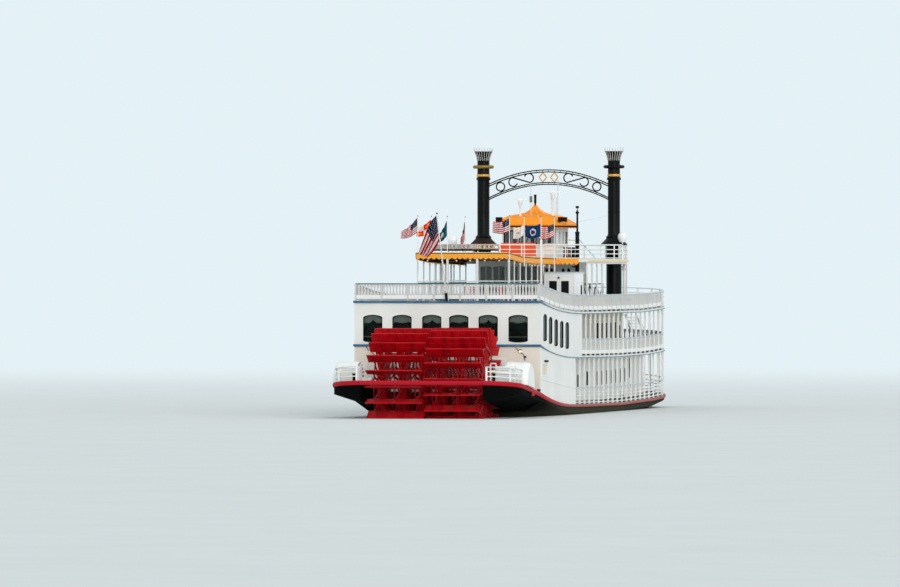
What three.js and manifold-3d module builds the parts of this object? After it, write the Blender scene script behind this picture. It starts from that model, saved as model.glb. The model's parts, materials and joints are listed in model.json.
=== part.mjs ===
// A stern paddle steamer at half size: hull, paddle wheel, three decks, cabins, railings and stacks.
// Every length below is in metres of the full-size ship, with x forward from the cabins' stern wall,
// y to port and z up from the waterline. The group at the end scales and moves the ship so that the
// model is in millimetres, with its origin under the middle of its length on the hull's flat bottom.
import * as THREE from 'three';
import { mergeVertices } from 'three/addons/utils/BufferGeometryUtils.js';
import Module from 'manifold-3d';

const wasm = await Module();
wasm.setup();

// Scale and fits
const MODEL_SCALE = 0.5;
const SEAT = 0.0006;
// How far a cutter reaches beyond the piece that it cuts
const CUT = 1;

// Hull and deck plan
const STERN = -8.25;
const CABIN_AFT = 0;
const HALF_BEAM = 6.06;
const STERN_CORNER = 2.4;
const BOW_START = 43.5;
const BOW_LENGTH = 7.5;
const BOW_STEPS = 6;
const STEM_HALF = 0.3;
const BOTTOM = -2.1;
const GUARD = { width: 0.1, aftDepth: 0.28, foreDepth: 0.18, taperEnd: 10 };
const STERN_BEAM_FORE = 0.12;
const CAPSTAN_BED = { aft: 46.6, fore: 47.8, half: 0.6, foot: 0.8, top: 1.12 };

// Height of each deck's edge along the ship
const SHEER = [
  // x, main, second, third
  [-8.45, 2.43, 4.57, 7.35],
  [-6, 2.2, 4.57, 7.35],
  [-3, 1.9, 4.57, 7.35],
  [0, 1.59, 4.57, 7.35],
  [1.5, 1.38, 4.38, 7.22],
  [3.4, 1.15, 4.19, 7.06],
  [5.5, 0.95, 4.01, 6.88],
  [7.7, 0.79, 3.87, 6.75],
  [9.9, 0.7, 3.78, 6.66],
  [13, 0.65, 3.73, 6.58],
  [21, 0.6, 3.68, 6.56],
  [28, 0.56, 3.66, 6.57],
  [36, 0.65, 3.69, 6.58],
  [40, 0.7, 3.75, 6.65],
  [BOW_START, 0.8, 3.85, 6.73],
  [51.3, 1.2, 4.15, 7],
];
const MAIN = 1;
const SECOND = 2;
const THIRD = 3;
const DECK_THICKNESS = 0.14;
const DECK_OVERHANG = 0.08;

// Sections of the hull below the deck. Aft, the upright side ends at its lower edge, and the hull draws in
// from there to the waterline.
const HULL_STATIONS = [
  // x, side's lower edge, then half breadth at the waterline, at the bilge and on the bottom, bottom height
  [0, 1.03, 4.6, 4.5, 4.2, -0.35],
  [3.4, 0.72, 5.2, 5.1, 4.7, -1.05],
  [7.7, 0.35, 5.8, 5.7, 5.2, -1.9],
  [9.9, 0.1, 5.9, 5.8, 5.2, BOTTOM],
  [13, 0.04, 5.95, 5.8, 5.2, BOTTOM],
  [28, 0.04, 5.95, 5.8, 5.2, BOTTOM],
  [40, 0.2, 5.6, 5.3, 4.6, BOTTOM],
  [43.5, 0.45, 4.7, 4.3, 3.6, BOTTOM],
  [46.5, 0.7, 3.3, 2.8, 2.2, BOTTOM],
  [48.7, 0.8, 1.9, 1.4, 0.9, BOTTOM + 0.3],
  [50.2, 0.9, 0.8, 0.5, 0.32, BOTTOM + 1.1],
  [51, 0.95, 0.28, 0.24, 0.2, BOTTOM + 1.9],
];
const BILGE_RISE = 0.55;

// Fantail wings on both sides of the wheel well
const FANTAIL = [
  // x, lower edge outboard, lower edge inboard
  [STERN, 1.65, 1.15],
  [-6, 1.5, 0.95],
  [-3, 1.28, 0.6],
  [CABIN_AFT, 1.03, 0.3],
];
const FANTAIL_CUT = { low: -2, height: 6 };
const CORNER_STEPS = 6;

// Paddle wheel
const WHEEL = {
  x: -4.2, z: 2.05, radius: 3.67, halfWidth: 3.72, split: 0.03, blades: 22,
  bladeDepth: 0.8, bladeThickness: 0.1, tipGap: 0.12, frameThickness: 0.12, frameInset: 0.5,
  ringInner: 2.35, ringOuter: 2.52, hubRadius: 0.55, spokeWidth: 0.085, shaftRadius: 0.2,
};
const HALF_START = { port: 15.7, starboard: 7.5 };
const WELL_HALF = 3.98;
const BEARING = {
  x: -4.15, z: 2.25, radius: 1.3, inner: 4.78, outer: 6.3, blockZ: 2.15, blockRadius: 0.42, overlap: 0.1,
};
const DRUM_STEPS = 12;

// Rudders under the raked stern
const RUDDER = {
  x: 1.7, y: 2.6, aft: 1, fore: 1.2, top: -1.15, bottom: -2, thickness: 0.1, stock: 0.13, stockFoot: -1.9,
};
const RUDDER_TRUNK = { radius: 0.24, bottom: -0.95 };

// Cabins on the main and second decks
const WALL = 0.12;
const WALL_OUT = 6.04;
const HOUSE_OUT = 4.6;
const CABINS = {
  main: { floor: MAIN, ceiling: SECOND, stepX: 12.1, frontX: 44 },
  second: { floor: SECOND, ceiling: THIRD, stepX: 14.3, frontX: 36.7 },
};
const STERN_WINDOWS = {
  offsets: [-4.63, -2.68, -0.77, 0.99, 2.93, 4.84], width: 1.25, low: 4.76, high: 6.52,
};
const SIDE_WINDOWS = { places: [1.65, 3.5, 5.4, 7.3, 9.17], width: 1.25, sill: 0.46, height: 1.74 };
const WINDOW_CROWN = 0.14;
const WINDOW_FOOT = 0.08;
const WINDOW_STEPS = 4;
const ENGINE = { fore: 9, aft: 2, halfWidth: 1.6, height: 1.7 };

// Railings
const POST_PITCH = 1.64;
const POST = 0.1;
const RAIL_Y = 6;
const RAIL_THICKNESS = 0.07;
const RAIL_BAR = 0.08;
const RAIL_HEIGHT = 1.12;
const STERN_RAIL_BAYS = 8;
const FANTAIL_RAIL = { height: 0.92, bars: [0.3, 0.6], inset: 0.1, endX: -5.57 };

// Third deck: canopy, bridge deck, houses
const CANOPY = { half: 3.08, thickness: 0.07, skin: 0.035, valance: 0.38, wing: 4.57 };
const CANOPY_TOP = [
  // x, height
  [5, 10.47],
  [9, 10.24],
  [14, 10.16],
  [20.95, 10.12],
];
const [CANOPY_AFT, CANOPY_FORE] = [CANOPY_TOP[0][0], CANOPY_TOP[CANOPY_TOP.length - 1][0]];
const CANOPY_POST = { pitch: 1.97, thick: 0.1, aftInset: 0.12, foreInset: 0.1 };
const CANOPY_BEAM = { y: 2.98, width: 0.1, depth: 0.14, aftGap: 0.06, foreGap: 0.02 };
const CANOPY_AFT_POSTS = { offsets: [-0.95, 1], thick: 0.14 };
const FLAGPOLES = { port: [5.25, 9.6, 14.8, 20.7], starboard: [5.5, 10.4, 16.1, 20.7] };
const FLAGPOLE = { radius: 0.035, top: 12.9, play: 0.01, sunk: 0.03 };
const FLAG = { below: 0.25, drop: 1.15, length: 1.1, thickness: 0.03 };
const BRIDGE = { aft: CANOPY_FORE + SEAT, fore: 35.5, half: 5.2, top: 10.08, thickness: 0.2 };
const BRIDGE_RAIL = { height: 1, bars: [0.46, 0.92], inset: 0.06, sideBays: 6, endBays: 4 };
// No posts stand from the clear places' first to their last, abreast of the stack
const BRIDGE_POST = { inset: 0.1, thick: 0.1, bays: 8, clear: [4, 7], beam: 0.12, end: 0.15 };
const TEXAS = { aft: 27.1, fore: 30.6, half: 3.35 };
const STAIR_HOUSE = { aft: 16.5, fore: 19.8, inner: 3.12, outer: 5.1, top: 9.2, wall: 0.08 };
const PILOTHOUSE = { aft: 27.5, fore: 31.5, half: 1.86, top: 12.2, wall: 0.08, sill: 11.05, head: 11.95 };
const AFT_PANES = [[-1.7, -0.65], [-0.5, 0.5], [0.65, 1.7]];
const SIDE_PANES = [[0.25, 1.25], [1.5, 2.5], [2.75, 3.75]];
const ROOF = { over: 0.5, eave: 0.12, shoulder: 12.92, ridge: 13.15, apex: 13.65 };
const FINIAL = { radius: 0.1, seat: 0.1, top: 14.4 };

// Stacks
const STACK = { x: 34.2, y: 4.46, column: 0.515, radius: 0.41, foot: 11.1, crown: 17.55, play: 0.02 };
const STACK_SHAFT = [
  // radius, height, from the skirt up to the flared crown
  [0.9, STACK.foot], [0.9, STACK.foot + 0.08], [0.48, 11.6], [STACK.radius, 11.66], [STACK.radius, 15.5],
  [0.48, 15.52], [0.48, 15.6], [STACK.radius, 15.62], [STACK.radius, 16.15], [0.6, 16.18], [0.68, 16.28],
  [0.6, 16.4], [STACK.radius, 16.43], [STACK.radius, 16.9], [0.47, 17.2], [0.66, STACK.crown],
  [0.6, STACK.crown], [0.4, 17.1], [0.3, 16.9],
];
const STACK_SIDES = 16;
const ARCH = {
  outerTop: 16.1, outerEnd: 15.12, innerTop: 15.2, innerEnd: 14.13, bar: 0.1, depth: 0.16, steps: 14,
  reach: 4.068,
};
const ARCH_POSTS = [-0.98, -0.72, -0.36, -0.08, 0.08, 0.36, 0.72, 0.98];
const ARCH_POST_HALF = 0.012;
const ARCH_BAY_STEPS = 3;
const MAST = { x: 26.1, y: -3.5, step: 11.8, top: 13.6, thick: 0.135, thin: 0.065, play: 0.02 };
const RADAR = { x: 28, foot: 12.4, mastRadius: 0.06, barHeight: 0.1, barDepth: 0.12 };
const RADARS = [
  // name, y, top of its mast, length of its bar
  ['port', 0.72, 14, 1.02],
  ['starboard', -1.48, 14.5, 1.07],
];
const ENSIGN_STAFF = { footX: -0.1 - SEAT, footZ: 7.55, topX: -3.2, topZ: 13, radius: 0.05 };
const ENSIGN_THICKNESS = 0.06;
const ENSIGN_EDGE = [
  // distance to port of the staff, height
  [0, 12.85], [0.45, 12.5], [1.3, 10.5], [1.35, 10.15], [0.6, 10.1], [0, 11.3],
];

// Colours with the roughness and metalness of each finish
const FINISH = {
  white: [0xdcdcd8, 0.5, 0], black: [0x17191a, 0.5, 0], red: [0x9a0f18, 0.45, 0],
  guard: [0xb02638, 0.5, 0], yellow: [0xf5a623, 0.6, 0], deck: [0x9aa3a6, 0.8, 0],
  stack: [0x0c0e10, 0.4, 0.2], iron: [0x3a3d40, 0.5, 0.6], flag: [0xb23a48, 0.9, 0],
};

const ship = new THREE.Group();

// Adds one named mesh made of a manifold solid or a plain geometry.
function add(name, shape, finish) {
  const [color, roughness, metalness] = FINISH[finish];
  const geometry = shape.isBufferGeometry ? shape : toGeometry(shape);
  const mesh = new THREE.Mesh(geometry, new THREE.MeshStandardMaterial({ color, roughness, metalness }));
  mesh.name = name;
  ship.add(mesh);
}

function solid(geometry) {
  const plain = geometry.clone();
  plain.deleteAttribute('normal');
  plain.deleteAttribute('uv');
  const merged = mergeVertices(plain, 1e-5);
  return new wasm.Manifold(new wasm.Mesh({
    numProp: 3,
    vertProperties: Float32Array.from(merged.attributes.position.array),
    triVerts: Uint32Array.from(merged.index.array),
  }));
}

function toGeometry(shape) {
  const mesh = shape.getMesh();
  const geometry = new THREE.BufferGeometry();
  geometry.setAttribute('position', new THREE.BufferAttribute(mesh.vertProperties, 3));
  geometry.setIndex(new THREE.BufferAttribute(mesh.triVerts, 1));
  geometry.computeVertexNormals();
  return geometry;
}

const union = (parts) => parts.reduce((whole, part) => whole.add(part));
const sides = [['port', 1], ['starboard', -1]];

function block([x0, x1], [y0, y1], [z0, z1]) {
  const geometry = new THREE.BoxGeometry(Math.abs(x1 - x0), Math.abs(y1 - y0), Math.abs(z1 - z0));
  return geometry.translate((x0 + x1) / 2, (y0 + y1) / 2, (z0 + z1) / 2);
}

// A shape through points in either order. Holes need its outline to run anticlockwise.
function outline(points) {
  const corners = points.map(([a, b]) => new THREE.Vector2(a, b));
  return new THREE.Shape(THREE.ShapeUtils.isClockWise(corners) ? corners.reverse() : corners);
}

const hole = (points) => new THREE.Path(points.map(([a, b]) => new THREE.Vector2(a, b)));

// A shape drawn in x and z, as thick as the range of y.
function plateAlong(shape, [y0, y1]) {
  const geometry = new THREE.ExtrudeGeometry(shape, { depth: Math.abs(y1 - y0), bevelEnabled: false });
  return geometry.rotateX(Math.PI / 2).translate(0, Math.max(y0, y1), 0);
}

// A shape drawn in y and z, as thick as the range of x.
function plateAcross(shape, [x0, x1]) {
  const geometry = new THREE.ExtrudeGeometry(shape, { depth: x1 - x0, bevelEnabled: false });
  const axes = new THREE.Matrix4().makeBasis(
    new THREE.Vector3(0, 1, 0), new THREE.Vector3(0, 0, 1), new THREE.Vector3(1, 0, 0));
  return geometry.applyMatrix4(axes).translate(x0, 0, 0);
}

function cylinder(radius, z0, z1, x, y, segments, topRadius = radius) {
  const geometry = new THREE.CylinderGeometry(topRadius, radius, z1 - z0, segments);
  return geometry.rotateX(Math.PI / 2).translate(x, y, (z0 + z1) / 2);
}

function crossCylinder(radius, y0, y1, x, z, segments) {
  return new THREE.CylinderGeometry(radius, radius, y1 - y0, segments).translate(x, (y0 + y1) / 2, z);
}

// A turned piece whose profile lists radius and height.
function turned(profile, x, y, segments) {
  const points = profile.map(([r, z]) => new THREE.Vector2(r, z));
  return new THREE.LatheGeometry(points, segments).rotateX(Math.PI / 2).translate(x, y, 0);
}

// A closed body through rings of points, with flat ends.
function loft(rings) {
  const count = rings[0].length;
  const index = [];
  for (let r = 0; r < rings.length - 1; r += 1) {
    for (let i = 0; i < count; i += 1) {
      const a = r * count + i;
      const b = r * count + ((i + 1) % count);
      index.push(a, b, b + count, a, b + count, a + count);
    }
  }
  const last = (rings.length - 1) * count;
  for (let i = 1; i < count - 1; i += 1) {
    index.push(0, i + 1, i, last, last + i, last + i + 1);
  }
  const geometry = new THREE.BufferGeometry();
  geometry.setAttribute('position', new THREE.Float32BufferAttribute(rings.flat(2), 3));
  geometry.setIndex(signedVolume(rings.flat(), index) < 0 ? index.reverse() : index);
  return geometry;
}

function signedVolume(points, index) {
  let volume = 0;
  const [a, b, c] = [new THREE.Vector3(), new THREE.Vector3(), new THREE.Vector3()];
  for (let i = 0; i < index.length; i += 3) {
    a.fromArray(points[index[i]]);
    b.fromArray(points[index[i + 1]]);
    c.fromArray(points[index[i + 2]]);
    volume += a.dot(b.cross(c));
  }
  return volume;
}

function between(table, column, x) {
  const next = Math.max(1, table.findIndex((row) => row[0] >= x));
  const [low, high] = [table[next - 1], table[next]];
  return THREE.MathUtils.mapLinear(x, low[0], high[0], low[column], high[column]);
}

const deckAt = (deck, x) => between(SHEER, deck, x);
const floorAt = (deck, x) => deckAt(deck, x) + (deck === MAIN ? 0 : DECK_THICKNESS / 2) + SEAT;
const ceilingAt = (deck, x) => deckAt(deck, x) - DECK_THICKNESS / 2 - SEAT;

// The places along x where the sheer bends, with both ends of the range.
function stations(from, to) {
  return [from, ...SHEER.map((row) => row[0]).filter((x) => x > from && x < to), to];
}

// Half breadth and x of the bow's curve, from its start to the stem.
function bowCurve(inset) {
  const half = HALF_BEAM - inset;
  const tip = Math.asin(STEM_HALF / half);
  return Array.from({ length: BOW_STEPS + 1 }, (_, i) => {
    const angle = THREE.MathUtils.lerp(Math.PI / 2, tip, i / BOW_STEPS);
    return [BOW_START + (BOW_LENGTH - inset) * Math.cos(angle), half * Math.sin(angle)];
  });
}

function deckHalf(x) {
  const curve = bowCurve(0);
  return x <= BOW_START ? HALF_BEAM : between(curve, 1, Math.min(x, curve[BOW_STEPS][0]));
}

function makeHull() {
  const places = [...stations(CABIN_AFT, BOW_START), ...bowCurve(0).slice(1).map(([x]) => x)];
  const rings = places.map((x) => {
    const [edge, water, bilge, bottom, low] = [1, 2, 3, 4, 5].map(
      (column) => between(HULL_STATIONS, column, x));
    const half = deckHalf(x);
    const side = [
      [half, deckAt(MAIN, x)], [half, edge], [Math.min(water, half), 0],
      [Math.min(bilge, half), Math.min(low + BILGE_RISE, -0.05)], [Math.min(bottom, half), low],
    ];
    const mirrored = side.map(([y, z]) => [-y, z]).reverse();
    return [...side, ...mirrored].map(([y, z]) => [x, y, z]);
  });
  const trunks = sides.map(([, sign]) => solid(
    cylinder(RUDDER_TRUNK.radius, RUDDER_TRUNK.bottom, 0, RUDDER.x, sign * RUDDER.y, 16)));
  const bed = CAPSTAN_BED;
  const capstanBed = solid(block([bed.aft, bed.fore], [-bed.half, bed.half], [bed.foot, bed.top]));
  add('hull', union([solid(loft(rings)), capstanBed, ...trunks]), 'black');
}

// Plan of the deck edge aft of the bow, from the wheel well round one stern corner.
function sternCorner(steps) {
  const centre = [STERN + STERN_CORNER, HALF_BEAM - STERN_CORNER];
  const arc = Array.from({ length: steps + 1 }, (_, i) => {
    const angle = (Math.PI / 2) * (i / steps);
    return [centre[0] - STERN_CORNER * Math.cos(angle), centre[1] + STERN_CORNER * Math.sin(angle)];
  });
  return arc.filter(([, y]) => y > WELL_HALF);
}

function makeFantails() {
  for (const [name, sign] of sides) {
    const rings = FANTAIL.map(([place, outboard, inboard]) => {
      const x = Math.min(place, CABIN_AFT - SEAT);
      const top = deckAt(MAIN, x);
      return [
        [x, sign * WELL_HALF, top], [x, sign * HALF_BEAM, top],
        [x, sign * HALF_BEAM, outboard], [x, sign * WELL_HALF, inboard],
      ];
    });
    const plan = [
      [STERN, WELL_HALF], ...sternCorner(CORNER_STEPS), [CABIN_AFT, HALF_BEAM], [CABIN_AFT, WELL_HALF]];
    const shape = outline(plan.map(([x, y]) => [x, sign * y]));
    const prism = new THREE.ExtrudeGeometry(shape, { depth: FANTAIL_CUT.height, bevelEnabled: false });
    const plug = solid(prism.translate(0, 0, FANTAIL_CUT.low));
    add(`fantail_${name}`, solid(loft(rings)).intersect(plug), 'black');
  }
}

function guardDepth(x) {
  const share = THREE.MathUtils.clamp((x - CABIN_AFT) / (GUARD.taperEnd - CABIN_AFT), 0, 1);
  return THREE.MathUtils.lerp(GUARD.aftDepth, GUARD.foreDepth, share);
}

// The guard's section as outward and upward offsets from the deck's edge.
function guardSection(x) {
  const [width, depth] = [GUARD.width, guardDepth(x)];
  return [
    [SEAT, 0], [width * 0.6, 0], [width, -depth * 0.25], [width, -depth * 0.75],
    [width * 0.6, -depth], [SEAT, -depth],
  ];
}

// A strip that follows a path in plan, to the path's port side if sign is 1.
function strip(path, sign, sectionAt) {
  const rings = path.map((point, i) => {
    const before = path[Math.max(i - 1, 0)];
    const after = path[Math.min(i + 1, path.length - 1)];
    const tangents = [[before, point], [point, after]].filter(([a, b]) => a !== b)
      .map(([a, b]) => new THREE.Vector2(b[0] - a[0], b[1] - a[1]).normalize());
    const sum = tangents.reduce((total, t) => total.clone().add(t)).normalize();
    const stretch = sign / sum.dot(tangents[0]);
    return sectionAt(point[0]).map(([out, up]) => [
      point[0] - sum.y * out * stretch, point[1] + sum.x * out * stretch, point[2] + up]);
  });
  return loft(rings);
}

function makeGuards() {
  const side = stations(STERN + STERN_CORNER, BOW_START).map((x) => [x, HALF_BEAM]);
  const corner = sternCorner(CORNER_STEPS).slice(0, -1);
  const plan = [[STERN, WELL_HALF], ...corner, ...side, ...bowCurve(0).slice(1)];
  plan.push([plan[plan.length - 1][0], SEAT]);
  for (const [name, sign] of sides) {
    const path = plan.map(([x, y]) => [x, sign * y, deckAt(MAIN, x)]);
    add(`guard_${name}`, strip(path, sign, guardSection), 'guard');
  }
  const [aft, fore, low] = [-GUARD.width, STERN_BEAM_FORE, -GUARD.aftDepth];
  const beam = outline([[aft, 0], [fore, 0], [fore, low], [aft, low]]);
  const end = WELL_HALF - SEAT;
  add('stern_beam', plateAlong(beam, [-end, end]).translate(STERN, 0, deckAt(MAIN, STERN)), 'guard');
}

function makeDecks() {
  for (const [name, deck] of [['second_deck', SECOND], ['third_deck', THIRD]]) {
    const bow = bowCurve(0).slice(1).map(([x]) => x);
    const places = [...stations(CABIN_AFT - DECK_OVERHANG, BOW_START), ...bow];
    const rings = places.map((x) => {
      const [half, z, t] = [deckHalf(x), deckAt(deck, x), DECK_THICKNESS / 2];
      return [[x, half, z + t], [x, -half, z + t], [x, -half, z - t], [x, half, z - t]];
    });
    add(name, loft(rings), 'deck');
  }
}

// An upright window outline with an arched head and a shallower curve along its sill.
function windowHole(centre, width, low, high) {
  const across = Array.from({ length: WINDOW_STEPS + 1 }, (_, i) => (i / WINDOW_STEPS) * 2 - 1);
  const place = (t) => centre + (t * width) / 2;
  const head = across.map((t) => [place(t), high - WINDOW_CROWN * t * t]);
  const foot = across.map((t) => [place(t), low + WINDOW_FOOT * t * t]);
  return hole([...head, ...foot.reverse()]);
}

function sideShape(deck, ceiling, from, to) {
  const places = stations(from, to);
  const low = places.map((x) => [x, floorAt(deck, x)]);
  const high = places.map((x) => [x, ceilingAt(ceiling, x)]);
  return outline([...low, ...high.reverse()]);
}

function makeCabins() {
  for (const [level, cabin] of Object.entries(CABINS)) {
    const { floor, ceiling, stepX, frontX } = cabin;
    const across = (x, half) => outline([
      [-half, Math.max(floorAt(floor, x), floorAt(floor, x + WALL))],
      [half, Math.max(floorAt(floor, x), floorAt(floor, x + WALL))],
      [half, Math.min(ceilingAt(ceiling, x), ceilingAt(ceiling, x + WALL))],
      [-half, Math.min(ceilingAt(ceiling, x), ceilingAt(ceiling, x + WALL))],
    ]);
    const sternShape = across(CABIN_AFT, WALL_OUT);
    if (level === 'second') {
      const { offsets, width, low, high } = STERN_WINDOWS;
      sternShape.holes = offsets.map((y) => windowHole(y, width, low, high));
    }
    add(`${level}_stern_wall`, plateAcross(sternShape, [CABIN_AFT, CABIN_AFT + WALL]), 'white');
    add(`${level}_bulkhead`, plateAcross(across(stepX, WALL_OUT), [stepX, stepX + WALL]), 'white');
    add(`${level}_front_wall`, plateAcross(across(frontX, HOUSE_OUT), [frontX, frontX + WALL]), 'white');
    for (const [name, sign] of sides) {
      const aft = sideShape(floor, ceiling, CABIN_AFT + WALL + SEAT, stepX - SEAT);
      if (level === 'second') {
        aft.holes = SIDE_WINDOWS.places.map((x) => {
          const sill = deckAt(SECOND, x) + SIDE_WINDOWS.sill;
          return windowHole(x, SIDE_WINDOWS.width, sill, sill + SIDE_WINDOWS.height);
        });
      }
      const house = sideShape(floor, ceiling, stepX + WALL + SEAT, frontX - SEAT);
      const plate = (shape, out) => plateAlong(shape, [sign * (out - WALL), sign * out]);
      add(`${level}_side_${name}`, plate(aft, WALL_OUT), 'white');
      add(`${level}_house_${name}`, plate(house, HOUSE_OUT), 'white');
    }
  }
  const base = deckAt(MAIN, ENGINE.aft) + SEAT;
  const { aft, fore, halfWidth, height } = ENGINE;
  add('engine', block([aft, fore], [-halfWidth, halfWidth], [base, base + height]), 'iron');
}

// A straight railing drawn in x and z, whose posts reach the deck above. Bars are the heights of its
// rails' lower edges above the deck.
function railShape(deck, from, to, bars, ceiling) {
  const places = stations(from, to);
  const shape = outline([
    ...places.map((x) => [x, floorAt(deck, x)]),
    ...places.map((x) => [x, ceilingAt(ceiling, x)]).reverse(),
  ]);
  const bays = Math.round((to - from) / POST_PITCH);
  const pitch = (to - from - POST) / bays;
  for (let i = 0; i < bays; i += 1) {
    const [x0, x1] = [from + i * pitch + POST, from + (i + 1) * pitch];
    const edges = [...bars.map((z) => (x) => floorAt(deck, x) + z), (x) => ceilingAt(ceiling, x) - RAIL_BAR];
    edges.slice(0, -1).forEach((edge, k) => {
      const upper = edges[k + 1];
      const low = (x) => edge(x) + RAIL_BAR;
      const corners = [[x0, low(x0)], [x1, low(x1)], [x1, upper(x1)], [x0, upper(x0)]];
      shape.holes.push(hole(corners));
    });
  }
  return shape;
}

// A bar between two points, with a square section.
function bar(a, b, width, height) {
  const along = new THREE.Vector2(b[0] - a[0], b[1] - a[1]).normalize().multiplyScalar(width / 2);
  const ring = ([x, y, z]) => [
    [x - along.y, y + along.x, z], [x + along.y, y - along.x, z],
    [x + along.y, y - along.x, z + height], [x - along.y, y + along.x, z + height],
  ];
  return loft([ring(a), ring(b)]);
}

// A railing along any path in plan: posts at the points, bars between them.
function pathRail(points, footAt, topAt, bars) {
  const parts = points.map(([x, y]) => solid(
    block([x - POST / 2, x + POST / 2], [y - POST / 2, y + POST / 2], [footAt(x), topAt(x)])));
  for (let i = 0; i < points.length - 1; i += 1) {
    const [[x0, y0], [x1, y1]] = [points[i], points[i + 1]];
    for (const z of bars) {
      parts.push(solid(bar([x0, y0, z(x0)], [x1, y1, z(x1)], RAIL_THICKNESS, RAIL_BAR)));
    }
  }
  return union(parts);
}

// Each railing runs along one side and on round its half of the bow, to the centre plane.
function makeRails() {
  const inset = HALF_BEAM - RAIL_Y + RAIL_THICKNESS / 2;
  const handrail = RAIL_HEIGHT - RAIL_BAR;
  const levels = [
    // name, deck, ceiling, start of the side rail, lower edges of its bars
    ['main', MAIN, SECOND, CABINS.main.stepX + WALL + SEAT, [0.1, handrail]],
    ['second', SECOND, THIRD, CABINS.second.stepX + WALL + SEAT, [0.06, handrail]],
    ['third', THIRD, null, POST + SEAT, [0, handrail]],
  ];
  for (const [level, deck, ceiling, from, bars] of levels) {
    const shape = ceiling ? railShape(deck, from, BOW_START, bars, ceiling) : openRail(deck, from, BOW_START);
    const curve = bowCurve(inset);
    const bow = [...curve, [curve[BOW_STEPS][0], (POST + SEAT) / 2]];
    const foot = (x) => Math.max(floorAt(deck, x - POST / 2), floorAt(deck, x + POST / 2));
    const top = (x) => (ceiling ? Math.min(ceilingAt(ceiling, x - POST / 2), ceilingAt(ceiling, x + POST / 2))
      : foot(x) + handrail + RAIL_BAR / 2);
    for (const [name, sign] of sides) {
      const side = solid(plateAlong(shape, [sign * (RAIL_Y - RAIL_THICKNESS), sign * RAIL_Y]));
      const path = bow.map(([x, y]) => [x, sign * y]);
      const round = pathRail(path, foot, top, bars.map((z) => (x) => foot(x) + z));
      add(`${level}_rail_${name}`, side.add(round), 'white');
    }
  }
}

// A railing with only a bottom and a top rail, open above.
function openRail(deck, from, to) {
  const places = stations(from, to);
  const height = (x, z) => [x, floorAt(deck, x) + z];
  const shape = outline([
    ...places.map((x) => height(x, 0)), ...places.map((x) => height(x, RAIL_HEIGHT)).reverse()]);
  const bays = Math.round((to - from) / POST_PITCH);
  const pitch = (to - from - POST) / bays;
  for (let i = 0; i < bays; i += 1) {
    const [x0, x1] = [from + i * pitch + POST, from + (i + 1) * pitch];
    const corners = [
      height(x0, RAIL_BAR), height(x1, RAIL_BAR),
      height(x1, RAIL_HEIGHT - RAIL_BAR), height(x0, RAIL_HEIGHT - RAIL_BAR)];
    shape.holes.push(hole(corners));
  }
  return shape;
}

function makeSternRail() {
  const foot = Math.max(floorAt(THIRD, -DECK_OVERHANG), floorAt(THIRD, POST));
  const pitch = (2 * RAIL_Y - POST) / STERN_RAIL_BAYS;
  const panel = solid(block([0, RAIL_THICKNESS], [-RAIL_Y, RAIL_Y], [foot, foot + RAIL_HEIGHT]));
  const gaps = Array.from({ length: STERN_RAIL_BAYS }, (_, i) => solid(block(
    [-CUT, CUT], [-RAIL_Y + i * pitch + POST, -RAIL_Y + (i + 1) * pitch],
    [foot + RAIL_BAR, foot + RAIL_HEIGHT - RAIL_BAR])));
  add('third_rail_stern', panel.subtract(union(gaps)), 'white');
}

function makeFantailRails() {
  const { height, bars, inset, endX } = FANTAIL_RAIL;
  const arc = sternCorner(CORNER_STEPS).slice(0, -1).map(([x, y]) => [x + inset, y - inset]);
  const points = [...arc, [endX, HALF_BEAM - inset]];
  const foot = (x) => deckAt(MAIN, x - POST / 2) + SEAT;
  const edges = [...bars, height - RAIL_BAR].map((z) => (x) => foot(x) + z);
  for (const [name, sign] of sides) {
    const path = points.map(([x, y]) => [x, sign * y]);
    add(`fantail_rail_${name}`, pathRail(path, foot, (x) => foot(x) + height - RAIL_BAR / 2, edges), 'white');
  }
}

// One half of the wheel: three flat frames with hub, spokes and ring, and its paddle blades.
function wheelHalf(from, to, start) {
  const w = WHEEL;
  const step = (2 * Math.PI) / w.blades;
  const reach = w.radius - w.tipGap;
  const frame = (y) => {
    const rim = [];
    for (let i = 0; i < w.blades; i += 1) {
      const angle = start + i * step;
      const spread = (radius) => Math.asin(w.spokeWidth / 2 / radius);
      for (const [radius, turn] of [
        [w.ringOuter, -spread(w.ringOuter)], [reach, -spread(reach)],
        [reach, spread(reach)], [w.ringOuter, spread(w.ringOuter)]]) {
        rim.push([-radius * Math.cos(angle + turn), radius * Math.sin(angle + turn)]);
      }
    }
    const shape = outline(rim);
    for (let i = 0; i < w.blades; i += 1) {
      const angle = start + i * step;
      const edge = (radius) => Math.asin(w.spokeWidth / 2 / radius);
      const corners = [
        [w.hubRadius, step / 2], [w.ringInner, edge(w.ringInner)], [w.ringInner, step - edge(w.ringInner)],
      ];
      shape.holes.push(hole(corners.map(([radius, turn]) => [
        -radius * Math.cos(angle + turn), radius * Math.sin(angle + turn)])));
    }
    return solid(plateAlong(shape, [y, y + w.frameThickness]).translate(w.x, 0, w.z));
  };
  const [first, last] = [from + w.frameInset, to - w.frameInset - w.frameThickness];
  const frames = [first, (first + last) / 2, last].map(frame);
  const blades = Array.from({ length: w.blades }, (_, i) => {
    const plate = block([w.radius - w.bladeDepth, w.radius], [from, to],
      [-w.bladeThickness / 2, w.bladeThickness / 2]);
    return solid(plate.rotateY(Math.PI + start + i * step).translate(w.x, 0, w.z));
  });
  const bore = solid(crossCylinder(w.shaftRadius + SEAT, from - CUT, to + CUT, w.x, w.z, 16));
  return union([...frames, ...blades]).subtract(bore);
}

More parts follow.
